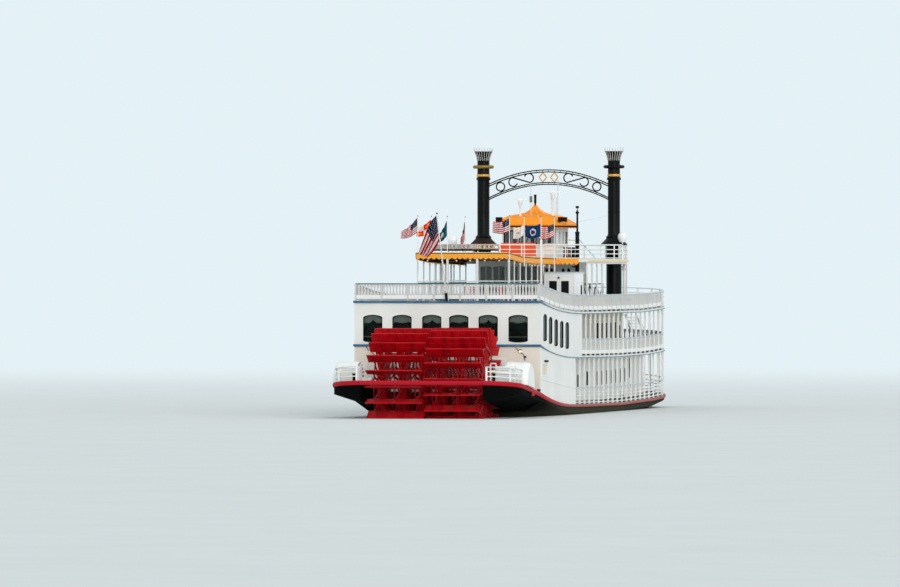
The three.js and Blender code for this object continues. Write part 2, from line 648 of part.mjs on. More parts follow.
// The side view of a half drum that stands on the main deck.
function drumShape(x, z, radius) {
  const arc = Array.from({ length: DRUM_STEPS + 1 }, (_, i) => {
    const angle = (Math.PI * i) / DRUM_STEPS;
    return [x + radius * Math.cos(angle), z + radius * Math.sin(angle)];
  });
  const foot = stations(x - radius, x + radius).map((place) => [place, deckAt(MAIN, place) + SEAT]);
  return outline([...arc, ...foot]);
}

function makeWheel() {
  const { halfWidth, split, x, z, shaftRadius } = WHEEL;
  const b = BEARING;
  for (const [name, sign] of sides) {
    const [from, to] = sign > 0 ? [split, halfWidth] : [-halfWidth, -split];
    add(`wheel_${name}`, wheelHalf(from, to, THREE.MathUtils.degToRad(HALF_START[name])), 'red');
    const drum = plateAlong(drumShape(b.x, b.z, b.radius), [sign * b.inner, sign * b.outer]);
    const pillow = plateAlong(
      drumShape(x, b.blockZ, b.blockRadius), [sign * WELL_HALF, sign * (b.inner + b.overlap)]);
    add(`bearing_cover_${name}`, union([solid(drum), solid(pillow)]), 'white');
  }
  const end = WELL_HALF - SEAT;
  add('wheel_shaft', crossCylinder(shaftRadius, -end, end, x, z, 16), 'red');
}

function makeRudders() {
  const r = RUDDER;
  for (const [name, sign] of sides) {
    const blade = block([r.x - r.aft, r.x + r.fore], [-r.thickness / 2, r.thickness / 2], [r.bottom, r.top]);
    const stock = cylinder(r.stock, r.stockFoot, RUDDER_TRUNK.bottom - SEAT, r.x, 0, 12);
    add(`rudder_${name}`, union([solid(blade), solid(stock)]).translate([0, sign * r.y, 0]), 'black');
  }
}

const canopyTop = (x) => between(CANOPY_TOP, 1, Math.min(x, CANOPY_FORE));
const canopyPlaces = (from, to) => [
  from, ...CANOPY_TOP.map(([x]) => x).filter((x) => x > from && x < Math.min(to, CANOPY_FORE)), to];

function makeCanopy() {
  const { half, thickness, skin, valance, wing } = CANOPY;
  const ring = (x, y, top, low) => [[x, y, top], [x, -y, top], [x, -y, low], [x, y, low]];
  const whole = solid(loft(CANOPY_TOP.map(([x, top]) => ring(x, half, top, top - valance))));
  const under = solid(loft(canopyPlaces(CANOPY_AFT + skin, CANOPY_FORE + CUT).map((x) => ring(
    x, half - skin, canopyTop(x) - thickness, canopyTop(x) - valance - CUT))));
  const top = canopyTop(CANOPY_FORE);
  const wings = sides.map(([, sign]) => solid(block(
    [CANOPY_FORE - 2 * skin, CANOPY_FORE], [sign * (half - skin / 2), sign * wing], [top - valance, top])));
  const poles = sides.flatMap(([name, sign]) => FLAGPOLES[name].map((x) => solid(
    cylinder(FLAGPOLE.radius + FLAGPOLE.play, top - CUT, top + CUT, x, sign * CANOPY_BEAM.y, 8))));
  add('canopy', union([whole.subtract(under), ...wings]).subtract(union(poles)), 'yellow');
  for (const [name, sign] of sides) {
    add(`canopy_frame_${name}`, canopyFrame(sign * CANOPY_BEAM.y, FLAGPOLES[name]), 'white');
  }
  add('canopy_frame_aft', aftFrame(), 'white');
}

const beamFoot = (x) => canopyTop(x) - CANOPY.thickness - SEAT - CANOPY_BEAM.depth;

function uprightPost(x, y, thick, deck, top) {
  const half = thick / 2;
  const foot = Math.max(floorAt(deck, x - half), floorAt(deck, x + half));
  return solid(block([x - half, x + half], [y - half, y + half], [foot, top]));
}

// The canopy's beam on one side with its posts, and the flagpoles with their flags set across the ship.
function canopyFrame(y, poles) {
  const { width, depth, aftGap, foreGap } = CANOPY_BEAM;
  const beam = loft(canopyPlaces(CANOPY_AFT + aftGap, CANOPY_FORE - foreGap).map((x) => [
    [x, y - width / 2, beamFoot(x)], [x, y + width / 2, beamFoot(x)],
    [x, y + width / 2, beamFoot(x) + depth], [x, y - width / 2, beamFoot(x) + depth]]));
  const p = CANOPY_POST;
  const count = Math.round((CANOPY_FORE - CANOPY_AFT) / p.pitch);
  const posts = Array.from({ length: count + 1 }, (_, i) => {
    const x = THREE.MathUtils.lerp(CANOPY_AFT + p.aftInset, CANOPY_FORE - p.foreInset, i / count);
    return uprightPost(x, y, p.thick, THIRD, beamFoot(x) + depth / 3);
  });
  const flags = poles.flatMap((x) => {
    const top = FLAGPOLE.top - FLAG.below;
    const cloth = block([x - FLAG.thickness / 2, x + FLAG.thickness / 2], [y, y + FLAG.length],
      [top - FLAG.drop, top]);
    const pole = cylinder(FLAGPOLE.radius, beamFoot(x) + FLAGPOLE.sunk, FLAGPOLE.top, x, y, 8);
    return [solid(pole), solid(cloth)];
  });
  return union([solid(beam), ...posts, ...flags]);
}

// The canopy's cross beam at its aft edge, with two posts.
function aftFrame() {
  const x = CANOPY_AFT + CANOPY_POST.aftInset;
  const end = CANOPY_BEAM.y - CANOPY_BEAM.width / 2 - SEAT;
  const [aft, fore] = [x - CANOPY_BEAM.width / 2, x + CANOPY_BEAM.width / 2];
  const top = beamFoot(fore) + CANOPY_BEAM.depth;
  const beam = solid(block([aft, fore], [-end, end], [top - CANOPY_BEAM.depth, top]));
  const posts = CANOPY_AFT_POSTS.offsets.map((y) => uprightPost(
    x, y, CANOPY_AFT_POSTS.thick, THIRD, top - CANOPY_BEAM.depth / 2));
  return union([beam, ...posts]);
}

function makeBridge() {
  const b = BRIDGE;
  const low = b.top - b.thickness;
  const plate = solid(block([b.aft, b.fore], [-b.half, b.half], [low, b.top]));
  const holes = sides.map(([, sign]) => solid(
    cylinder(STACK.column + STACK.play, low - CUT, b.top + CUT, STACK.x, sign * STACK.y, 24)));
  holes.push(solid(cylinder(MAST.thick + MAST.play, low - CUT, b.top + CUT, MAST.x, MAST.y, 12)));
  add('bridge_deck', plate.subtract(union(holes)), 'white');

  const p = BRIDGE_POST;
  const [first, last, top] = [b.aft + p.end, b.fore - p.end, low - SEAT];
  for (const [name, sign] of sides) {
    const y = sign * (b.half - p.inset);
    const beam = solid(block([first, last], [y - p.thick / 2, y + p.thick / 2], [top - p.beam, top]));
    const places = Array.from({ length: p.bays + 1 }, (_, i) => i)
      .filter((i) => i < p.clear[0] || i > p.clear[1]);
    const posts = places.map((i) => uprightPost(
      THREE.MathUtils.lerp(first, last, i / p.bays), y, p.thick, THIRD, top - p.beam / 2));
    add(`bridge_posts_${name}`, union([beam, ...posts]), 'white');
  }

  const { inset, height, bars, sideBays, endBays } = BRIDGE_RAIL;
  const [x0, x1, y1] = [b.aft + inset, b.fore - inset, b.half - inset];
  const corners = [[x0, y1], [x1, y1], [x1, -y1], [x0, -y1], [x0, y1]];
  const path = corners.slice(0, -1).flatMap(([x, y], k) => {
    const [nextX, nextY] = corners[k + 1];
    const bays = k % 2 === 0 ? sideBays : endBays;
    return Array.from({ length: bays }, (_, i) => [
      THREE.MathUtils.lerp(x, nextX, i / bays), THREE.MathUtils.lerp(y, nextY, i / bays)]);
  });
  const railTop = () => b.top + height - RAIL_BAR / 2;
  const edges = bars.map((z) => () => b.top + z);
  add('bridge_rail', pathRail([...path, path[0]], () => b.top + SEAT, railTop, edges), 'white');
}

// A hollow box with no floor, whose walls and roof are one shell.
function shell([x0, x1], [y0, y1], [z0, z1], wall, roof) {
  const inside = block([x0 + wall, x1 - wall], [y0 + wall, y1 - wall], [z0 - CUT, z1 - roof]);
  return solid(block([x0, x1], [y0, y1], [z0, z1])).subtract(solid(inside));
}

function makeHouses() {
  const t = TEXAS;
  const foot = (a, b) => Math.max(floorAt(THIRD, a), floorAt(THIRD, b));
  const ceiling = BRIDGE.top - BRIDGE.thickness - SEAT;
  const room = shell([t.aft, t.fore], [-t.half, t.half], [foot(t.aft, t.fore), ceiling], WALL, WALL);
  add('texas_house', room, 'white');
  const s = STAIR_HOUSE;
  const height = [foot(s.aft, s.fore), s.top - SEAT];
  add('stair_house', shell([s.aft, s.fore], [-s.outer, -s.inner], height, s.wall, s.wall), 'white');
  makePilothouse();
}

function makePilothouse() {
  const p = PILOTHOUSE;
  const room = shell([p.aft, p.fore], [-p.half, p.half], [BRIDGE.top + SEAT, p.top], p.wall, p.wall);
  const panes = [
    ...AFT_PANES.map((across) => solid(block([p.aft - CUT, p.fore + CUT], across, [p.sill, p.head]))),
    ...SIDE_PANES.map(([from, to]) => solid(block(
      [p.aft + from, p.aft + to], [-p.half - CUT, p.half + CUT], [p.sill, p.head]))),
  ];
  add('pilothouse', room.subtract(union(panes)), 'white');

  const r = ROOF;
  const [cx, hx, hy] = [(p.aft + p.fore) / 2, (p.fore - p.aft) / 2 + r.over, p.half + r.over];
  const level = (f, z) => [
    [cx - hx * f, -hy * f, z], [cx + hx * f, -hy * f, z], [cx + hx * f, hy * f, z], [cx - hx * f, hy * f, z]];
  const base = p.top + SEAT;
  const tent = loft([
    level(1, base), level(1, base + r.eave), level(0.6, r.shoulder), level(0.2, r.ridge),
    level(0.03, r.apex),
  ]);
  const { radius, top } = FINIAL;
  const foot = r.apex - FINIAL.seat;
  const finial = turned([[0, foot], [radius, foot], [radius, top], [0, top]], cx, 0, 10);
  const masts = RADARS.map(([, y, mastTop]) => solid(
    cylinder(RADAR.mastRadius, RADAR.foot, mastTop, RADAR.x, y, 8)));
  add('pilothouse_roof', union([solid(tent), solid(finial), ...masts]), 'yellow');
  for (const [name, y, mastTop, length] of RADARS) {
    const low = mastTop + SEAT;
    add(`radar_${name}`, block([RADAR.x - RADAR.barDepth / 2, RADAR.x + RADAR.barDepth / 2],
      [y - length / 2, y + length / 2], [low, low + RADAR.barHeight]), 'white');
  }
}

// A run of points along the arch, from one share of its half span to another.
function archRun(top, low, from, to, steps) {
  return Array.from({ length: steps + 1 }, (_, i) => {
    const t = THREE.MathUtils.lerp(from, to, i / steps);
    return [t * ARCH.reach, top - (top - low) * t * t];
  });
}

function makeStacks() {
  const s = STACK;
  const foot = Math.max(floorAt(THIRD, s.x - s.column), floorAt(THIRD, s.x + s.column));
  const throat = STACK_SHAFT[STACK_SHAFT.length - 1][1];
  const profile = [[0, foot], [s.column, foot], [s.column, s.foot], ...STACK_SHAFT, [0, throat]];
  for (const [name, sign] of sides) {
    add(`stack_${name}`, solid(turned(profile, s.x, sign * s.y, STACK_SIDES)), 'stack');
  }
  const a = ARCH;
  const shape = outline([
    ...archRun(a.outerTop, a.outerEnd, -1, 1, a.steps),
    ...archRun(a.innerTop - a.bar, a.innerEnd - a.bar, -1, 1, a.steps).reverse()]);
  for (let k = 0; k < ARCH_POSTS.length - 1; k += 1) {
    const [from, to] = [ARCH_POSTS[k] + ARCH_POST_HALF, ARCH_POSTS[k + 1] - ARCH_POST_HALF];
    shape.holes.push(hole([
      ...archRun(a.outerTop - a.bar, a.outerEnd - a.bar, from, to, ARCH_BAY_STEPS),
      ...archRun(a.innerTop, a.innerEnd, from, to, ARCH_BAY_STEPS).reverse()]));
  }
  const shafts = sides.map(([, sign]) => solid(cylinder(
    s.radius + SEAT, a.innerEnd - CUT, a.outerTop + CUT, s.x, sign * s.y, STACK_SIDES)));
  const arch = solid(plateAcross(shape, [s.x - a.depth / 2, s.x + a.depth / 2])).subtract(union(shafts));
  add('stack_arch', arch, 'stack');
}

function makeMasts() {
  const m = MAST;
  const foot = Math.max(floorAt(THIRD, m.x - m.thick), floorAt(THIRD, m.x + m.thick));
  const profile = [[0, foot], [m.thick, foot], [m.thick, m.step], [m.thin, m.step], [m.thin, m.top], [0, m.top]];
  add('mast', turned(profile, m.x, m.y, 12), 'stack');
  const e = ENSIGN_STAFF;
  const staff = loft([[e.footX, e.footZ], [e.topX, e.topZ]].map(([x, z]) => [
    [x, -e.radius, z], [x + e.radius * 2, 0, z], [x, e.radius, z], [x - e.radius * 2, 0, z]]));
  add('ensign_staff', staff, 'white');
  const lean = (e.topX - e.footX) / (e.topZ - e.footZ);
  const cloth = outline(ENSIGN_EDGE.map(([out, z]) => [e.radius + SEAT + out, z]));
  const sheet = plateAcross(cloth, [-ENSIGN_THICKNESS / 2, ENSIGN_THICKNESS / 2]);
  const follow = new THREE.Matrix4().makeShear(0, 0, 0, 0, lean, 0);
  follow.setPosition(e.footX - lean * e.footZ, 0, 0);
  add('ensign', sheet.applyMatrix4(follow), 'flag');
}

makeHull();
makeFantails();
makeGuards();
makeDecks();
makeCabins();
makeRails();
makeSternRail();
makeFantailRails();
makeWheel();
makeRudders();
makeCanopy();
makeBridge();
makeHouses();
makeStacks();
makeMasts();

const mmPerMetre = 1000 * MODEL_SCALE;
const stem = bowCurve(0)[BOW_STEPS][0];
const middle = (STERN + stem) / 2;
ship.scale.setScalar(mmPerMetre);
ship.position.set(-middle * mmPerMetre, 0, -BOTTOM * mmPerMetre);

export default ship;
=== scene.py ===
"""A stern paddle steamer at half size: its paint, glass, railings, wheel, stacks and flags.

Places and sizes are in metres of the full-size ship: x forward from the cabins' stern wall, y to port,
z up from the waterline. SHIP takes them to the model's own metres.
"""
import json
import math

import bmesh
import bpy
from mathutils import Matrix, Vector

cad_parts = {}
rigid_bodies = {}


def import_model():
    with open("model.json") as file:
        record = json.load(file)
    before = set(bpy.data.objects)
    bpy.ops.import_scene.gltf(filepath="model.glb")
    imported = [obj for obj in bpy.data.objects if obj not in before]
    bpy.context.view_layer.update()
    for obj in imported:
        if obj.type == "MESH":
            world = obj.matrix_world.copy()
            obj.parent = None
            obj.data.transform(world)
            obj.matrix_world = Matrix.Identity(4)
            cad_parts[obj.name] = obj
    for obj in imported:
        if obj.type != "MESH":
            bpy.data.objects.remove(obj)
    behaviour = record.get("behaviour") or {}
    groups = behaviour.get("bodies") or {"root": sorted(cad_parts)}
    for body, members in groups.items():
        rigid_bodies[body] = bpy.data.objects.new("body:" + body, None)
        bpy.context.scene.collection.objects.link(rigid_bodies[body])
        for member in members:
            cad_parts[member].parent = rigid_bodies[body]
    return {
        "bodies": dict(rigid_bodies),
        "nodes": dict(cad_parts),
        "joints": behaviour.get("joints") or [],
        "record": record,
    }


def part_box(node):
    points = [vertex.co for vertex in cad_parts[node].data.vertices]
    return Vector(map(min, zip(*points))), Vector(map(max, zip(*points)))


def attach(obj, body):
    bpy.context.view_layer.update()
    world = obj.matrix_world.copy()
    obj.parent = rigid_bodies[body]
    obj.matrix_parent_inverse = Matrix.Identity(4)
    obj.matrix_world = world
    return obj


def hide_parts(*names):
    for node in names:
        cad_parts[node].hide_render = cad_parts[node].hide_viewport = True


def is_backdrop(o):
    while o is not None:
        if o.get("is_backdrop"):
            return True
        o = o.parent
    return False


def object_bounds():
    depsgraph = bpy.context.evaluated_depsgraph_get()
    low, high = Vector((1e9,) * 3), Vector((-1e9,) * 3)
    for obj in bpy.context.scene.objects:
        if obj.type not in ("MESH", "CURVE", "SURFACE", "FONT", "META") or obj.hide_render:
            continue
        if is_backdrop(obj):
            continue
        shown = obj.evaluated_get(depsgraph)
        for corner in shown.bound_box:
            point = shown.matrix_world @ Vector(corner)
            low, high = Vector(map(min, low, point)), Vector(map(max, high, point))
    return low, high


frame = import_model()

CAD_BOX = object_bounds()
SCALE = 0.5
DRAUGHT = 2.1
STERN_WALL_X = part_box("main_stern_wall")[0].x
SHIP = Matrix.Translation((STERN_WALL_X, 0, DRAUGHT * SCALE)) @ Matrix.Scale(SCALE, 4)
SIDES = {"port": 1, "starboard": -1}

# Camera: far astern and to starboard, level, with a very long lens
PHOTO_WIDTH = 900
PHOTO_HEIGHT = 587
CAMERA_YAW = math.radians(11.5)
CAMERA_DISTANCE = 650
CAMERA_HEIGHT = 10
FOCAL_PIXELS = 10186
SENSOR = 36
SIGHT_PX = (447, 260.3)
BACKDROP = (0.78, 0.88, 0.92)

# Deck plan and sheer
STERN = -8.25
HALF_BEAM = 6.06
STERN_CORNER = 2.4
WELL_HALF = 3.98
BOW_START = 43.5
BOW_LENGTH = 7.5
STEM_HALF = 0.3
BOTTOM = -2.1
MAIN, SECOND, THIRD = 1, 2, 3
SHEER = (
    # x, main, second, third
    (-8.45, 2.43, 4.57, 7.35),
    (-6, 2.2, 4.57, 7.35),
    (-3, 1.9, 4.57, 7.35),
    (0, 1.59, 4.57, 7.35),
    (1.5, 1.38, 4.38, 7.22),
    (3.4, 1.15, 4.19, 7.06),
    (5.5, 0.95, 4.01, 6.88),
    (7.7, 0.79, 3.87, 6.75),
    (9.9, 0.7, 3.78, 6.66),
    (13, 0.65, 3.73, 6.58),
    (21, 0.6, 3.68, 6.56),
    (28, 0.56, 3.66, 6.57),
    (36, 0.65, 3.69, 6.58),
    (40, 0.7, 3.75, 6.65),
    (BOW_START, 0.8, 3.85, 6.73),
    (51.3, 1.2, 4.15, 7),
)
DECK_HALF = 0.07
DECK_OVERHANG = 0.08
HULL_STATIONS = (
    # x, side's lower edge, half breadth at the waterline, at the bilge, on the bottom, bottom height
    (0, 1.03, 4.6, 4.5, 4.2, -0.35),
    (3.4, 0.72, 5.2, 5.1, 4.7, -1.05),
    (7.7, 0.35, 5.8, 5.7, 5.2, -1.9),
    (9.9, 0.1, 5.9, 5.8, 5.2, BOTTOM),
    (13, 0.04, 5.95, 5.8, 5.2, BOTTOM),
    (28, 0.04, 5.95, 5.8, 5.2, BOTTOM),
    (40, 0.2, 5.6, 5.3, 4.6, BOTTOM),
    (43.5, 0.45, 4.7, 4.3, 3.6, BOTTOM),
    (46.5, 0.7, 3.3, 2.8, 2.2, BOTTOM),
    (48.7, 0.8, 1.9, 1.4, 0.9, BOTTOM + 0.3),
    (50.2, 0.9, 0.8, 0.5, 0.32, BOTTOM + 1.1),
    (51, 0.95, 0.28, 0.24, 0.2, BOTTOM + 1.9),
)
BILGE_RISE = 0.55
GUARD_WIDTH = 0.1
GUARD_DEPTH_AFT = 0.28
GUARD_DEPTH_FORE = 0.18
GUARD_TAPER = 10
STERN_BEAM_FORE = 0.12
CAPSTAN_BED = ((46.6, -0.6, 0.8), (47.8, 0.6, 1.12))

WHEEL_X, WHEEL_Z = -4.2, 2.05
WHEEL_RADIUS = 3.67
WHEEL_HALF_WIDTH = 3.72
BLADES = 22
BLADE_DEPTH = 0.8
HALF_START = {"port": 15.7, "starboard": 7.5}
HUB_RADIUS = 0.58
WHEEL_RINGS = (
    # radius, half width
    (2.44, 0.085),
    (1.35, 0.06),
)
RUDDER_X, RUDDER_Y = 1.7, 2.6
BEARING_X, BEARING_Z, BEARING_RADIUS = -4.15, 2.25, 1.3
BEARING_INNER, BEARING_OUTER = 4.78, 6.3

RAIL_Y = 6
RAIL_HEIGHT = 1.12
POST_PITCH = 1.64
BALUSTER_PITCH = 0.205
FANTAIL_RAIL_HEIGHT = 0.92
WALL_Y = 6.04
HOUSE_Y = 4.6
WALL = 0.12
MAIN_STEP, MAIN_FRONT = 12.1, 44
SECOND_STEP, SECOND_FRONT = 14.3, 36.7

# Third deck and above
CANOPY_HALF = 3.08
CANOPY_WING = 4.57
CANOPY_AFT, CANOPY_FORE = 5, 20.95
CANOPY_TOP = ((CANOPY_AFT, 10.47), (9, 10.24), (14, 10.16), (CANOPY_FORE, 10.12))
CANOPY_BAY = 1.97
VALANCE = 0.38
BRIDGE_AFT, BRIDGE_FORE, BRIDGE_HALF, BRIDGE_TOP = 20.95, 35.5, 5.2, 10.08
BRIDGE_UNDERSIDE = BRIDGE_TOP - 0.2
BRIDGE_POST_Y = 5.1
TEXAS_AFT, TEXAS_FORE, TEXAS_HALF = 27.1, 30.6, 3.35
STAIR_AFT, STAIR_FORE, STAIR_INNER, STAIR_OUTER, STAIR_TOP = 16.5, 19.8, 3.12, 5.1, 9.2
SIDE_WINDOWS = (1.65, 3.5, 5.4, 7.3, 9.17)
STERN_WINDOWS = (-4.63, -2.68, -0.77, 0.99, 2.93, 4.84)
STERN_SILL, STERN_HEAD = 4.76, 6.52
WINDOW_HALF = 0.625
PILOT_AFT, PILOT_FORE, PILOT_HALF = 27.5, 31.5, 1.86
PILOT_SILL, PILOT_HEAD = 11.05, 11.95
RADAR_X = 28
RADARS = {
    # y, mast's head and foot, the bar's length
    "port": (0.72, 14, 12.85, 1.02),
    "starboard": (-1.48, 14.5, 12.6, 1.07),
}
MAST = (26.1, -3.5)
STACK_X, STACK_Y = 34.2, 4.46
STACK_SIDES = 40
CROWN_SPIKES = 20
COLLAR_TEETH = 30
ARCH_END = 4.068
FLAGPOLES = {"port": (5.25, 9.6, 14.8, 20.7), "starboard": (5.5, 10.4, 16.1, 20.7)}
FLAGPOLE_Y = 2.98
# The poles stand outside the valance, forward of the frame's sockets to port and aft of them to starboard
POLE_ALONG, POLE_OUT = 0.62, 0.13
POLE_FEET = {
    # foot, top of the thick lower length
    "port": ((9.2, 0), (9.9, 0), (9.9, 0), (9.9, 0)),
    "starboard": ((8.4, 0), (9.6, 0), (8.4, 11.35), (9.1, 0)),
}
FLAGPOLE_TOP = 12.9
ENSIGN_FOOT, ENSIGN_HEAD = (-0.1, 0, 7.55), (-3.2, 0, 12.95)


# Materials
def new_material(name):
    material = bpy.data.materials.new(name)
    material.use_nodes = True
    tree = material.node_tree
    return material, tree, tree.nodes["Principled BSDF"]


def node(tree, kind, links=(), **values):
    """A node with its inputs set by name, from a number, a colour or another node's output."""
    made = tree.nodes.new(kind)
    for key, value in values.items():
        setattr(made, key, value)
    for socket, source in dict(links).items():
        if isinstance(source, bpy.types.NodeSocket):
            tree.links.new(source, made.inputs[socket])
        else:
            made.inputs[socket].default_value = source
    return made


def set_gloss(shader, roughness, specular=0.5):
    """The same gloss all over a finish."""
    shader.inputs["Roughness"].default_value = roughness
    shader.inputs["Specular IOR Level"].default_value = specular


def object_place(tree):
    """The point's own place in the model, for patterns that ride with the piece."""
    return node(tree, "ShaderNodeTexCoord").outputs["Object"]


def ranged(tree, value, low, high, to_low=0, to_high=1, **options):
    """A value stretched so that low and high become 0 and 1, or the two numbers given."""
    sockets = {"Value": value, "From Min": low, "From Max": high, "To Min": to_low, "To Max": to_high}
    return node(tree, "ShaderNodeMapRange", sockets, **options).outputs["Result"]


def maths(tree, kind, first, second):
    return node(tree, "ShaderNodeMath", {0: first, 1: second}, operation=kind).outputs[0]


def colour_ramp(tree, source, stops):
    ramp = node(tree, "ShaderNodeValToRGB", {"Fac": source})
    elements = ramp.color_ramp.elements
    while len(elements) < len(stops):
        elements.new(0.5)
    for element, (place, colour) in zip(elements, stops):
        element.position = place
        element.color = (*colour, 1)
    return ramp.outputs["Color"]


def noise(tree, scale, detail, stretch=(1, 1, 1), roughness=0.55):
    mapped = node(tree, "ShaderNodeMapping", {"Vector": object_place(tree), "Scale": stretch})
    return node(tree, "ShaderNodeTexNoise", {
        "Vector": mapped.outputs["Vector"], "Scale": scale, "Detail": detail,
        "Roughness": roughness}).outputs["Fac"]


def mix(tree, factor, first, second):
    made = node(tree, "ShaderNodeMix", data_type="RGBA", blend_type="MIX")
    for index, value in ((0, factor), (6, first), (7, second)):
        if isinstance(value, bpy.types.NodeSocket):
            tree.links.new(value, made.inputs[index])
        else:
            made.inputs[index].default_value = value if index == 0 else (*value, 1)
    return made.outputs[2]


def add_bump(tree, shader, height, strength, distance):
    bump = node(tree, "ShaderNodeBump", {"Height": height, "Strength": strength, "Distance": distance})
    tree.links.new(bump.outputs["Normal"], shader.inputs["Normal"])


def weathered_paint(name, colour, stained, roughness, streaks, metallic=0.0, specular=0.5):
    """Brushed paint: broad tone changes, rain streaks down the surface, and fine unevenness."""
    material, tree, shader = new_material(name)
    broad = noise(tree, 0.9, 5)
    rain = noise(tree, 2.2, 6, (3, 3, 0.25), 0.7)
    tone = colour_ramp(tree, broad, [(0.3, [c * 0.9 for c in colour]), (0.7, colour)])
    streak = ranged(tree, rain, 0.55, 0.8, 0, streaks)
    tree.links.new(mix(tree, streak, tone, stained), shader.inputs["Base Color"])
    fine = noise(tree, 30, 3)
    tree.links.new(ranged(tree, fine, 0.3, 0.7, *roughness), shader.inputs["Roughness"])
    shader.inputs["Metallic"].default_value = metallic
    shader.inputs["Specular IOR Level"].default_value = specular
    add_bump(tree, shader, fine, 0.15, 0.004)
    return material


def along_axis(tree, axis, low, high):
    """A factor that runs from 0 to 1 between two places along one axis, in the model's metres."""
    split = node(tree, "ShaderNodeSeparateXYZ", {"Vector": object_place(tree)})
    return ranged(tree, split.outputs[axis], low, high)


def hull_paint(name, black, weed_and_sheen):
    """Black topsides that turn dull and brown-green towards the waterline, with plate seams."""
    material, tree, shader = new_material(name)
    patch = noise(tree, 1.4, 6, (1, 1, 2.5), 0.65)
    wet = maths(tree, "MULTIPLY", along_axis(tree, 2, 1.32, 1.05), patch)
    side = mix(tree, patch, [c * 0.7 for c in black], [c * 1.5 for c in black])
    # Forward of the stern the sides turn a dull grey-green: partly weathering, partly a painted sheen of
    # reflected light
    topsides = mix(tree, maths(tree, "MULTIPLY", along_axis(tree, 0, -10, -7), 0.75), side, weed_and_sheen)
    dirty = ranged(tree, wet, 0.1, 0.6)
    tree.links.new(mix(tree, dirty, topsides, weed_and_sheen), shader.inputs["Base Color"])
    seams = node(tree, "ShaderNodeTexBrick", {
        "Vector": brick_vector(tree), "Scale": 1, "Mortar Size": 0.012, "Brick Width": 1.2,
        "Row Height": 0.45})
    add_bump(tree, shader, seams.outputs["Fac"], 0.5, -0.004)
    set_gloss(shader, 0.8, 0.02)
    return material


def brick_vector(tree):
    """Object coordinates with height as the pattern's second axis, for seams on upright walls."""
    split = node(tree, "ShaderNodeSeparateXYZ", {"Vector": object_place(tree)})
    along = maths(tree, "ADD", split.outputs[0], split.outputs[1])
    return node(tree, "ShaderNodeCombineXYZ", {0: along, 1: split.outputs[2]}).outputs[0]


def guard_paint(name, fresh, side_pink):
    """Red guard paint, deep red round the stern and a paler pinkish red in patches along the side, with
    scraped unevenness.
    """
    material, tree, shader = new_material(name)
    scrape = noise(tree, 3.5, 8, (0.5, 0.5, 4), 0.7)
    forward = along_axis(tree, 0, STERN_WALL_X - 1, STERN_WALL_X + 6)
    pink_patches = ranged(tree, maths(tree, "MULTIPLY", forward, scrape), 0.1, 0.55)
    tree.links.new(mix(tree, pink_patches, fresh, side_pink), shader.inputs["Base Color"])
    set_gloss(shader, 0.6, 0.2)
    add_bump(tree, shader, scrape, 0.3, 0.006)
    return material


def wheel_paint(name, red, dark):
    """Wet red planks: darker where the water runs, with a soft sheen and grain along the blade."""
    material, tree, shader = new_material(name)
    grain = noise(tree, 9, 6, (4, 0.5, 4), 0.6)
    runs = noise(tree, 1.6, 5, (1, 3, 1), 0.6)
    wood = mix(tree, grain, [c * 0.75 for c in red], red)
    wet = ranged(tree, runs, 0.45, 0.75, 0, 0.75)
    tree.links.new(mix(tree, wet, wood, dark), shader.inputs["Base Color"])
    tree.links.new(ranged(tree, runs, 0.3, 0.7, 0.5, 0.28), shader.inputs["Roughness"])
    shader.inputs["Specular IOR Level"].default_value = 0.2
    add_bump(tree, shader, grain, 0.35, 0.006)
    return material


def plank_paint(name, colour, seam, width=0.08):
    """Painted deck planks that run along the ship."""
    material, tree, shader = new_material(name)
    planks = node(tree, "ShaderNodeTexBrick", {
        "Vector": object_place(tree), "Scale": 1, "Mortar Size": 0.006, "Brick Width": 2.5,
        "Row Height": width, "Color1": (*colour, 1), "Color2": (*[c * 0.88 for c in colour], 1),
        "Mortar": (*seam, 1)})
    stain = noise(tree, 1.2, 6)
    tree.links.new(mix(tree, stain, planks.outputs["Color"],
                       [c * 0.75 for c in colour]), shader.inputs["Base Color"])
    set_gloss(shader, 0.75)
    add_bump(tree, shader, planks.outputs["Fac"], 0.4, -0.003)
    return material


def side_highlight_paint(name, aft, fore, stained):
    """Trim paint, deep blue at the stern and a paler teal along the ship's side, where the paler teal is a
    painted highlight; with stains.
    """
    material, tree, shader = new_material(name)
    forward = along_axis(tree, 0, STERN_WALL_X + 0.1, STERN_WALL_X + 2.4)
    wear = noise(tree, 2.5, 6, (0.6, 0.6, 3), 0.7)
    spots = ranged(tree, wear, 0.5, 0.75)
    tone = mix(tree, forward, aft, fore)
    tree.links.new(mix(tree, spots, tone, stained), shader.inputs["Base Color"])
    set_gloss(shader, 0.5)
    add_bump(tree, shader, wear, 0.15, 0.004)
    return material


def window_glass(name, colour, alpha, specular=0.5):
    """Dark glass that lets a little of the room show."""
    material, tree, shader = new_material(name)
    ripple = noise(tree, 1.5, 2)
    tree.links.new(mix(tree, ripple, [c * 0.6 for c in colour], colour), shader.inputs["Base Color"])
    set_gloss(shader, 0.04, specular)
    shader.inputs["Alpha"].default_value = alpha
    add_bump(tree, shader, ripple, 0.03, 0.01)
    return material


def lamp_glow(name, colour, strength):
    """A lit lamp globe, warmer towards its rim."""
    material, tree, shader = new_material(name)
    rim = node(tree, "ShaderNodeLayerWeight", {"Blend": 0.4})
    tree.links.new(mix(tree, rim.outputs["Facing"], colour, [c * 0.6 for c in colour]),
                   shader.inputs["Emission Color"])
    shader.inputs["Emission Strength"].default_value = strength
    shader.inputs["Base Color"].default_value = (*colour, 1)
    return material


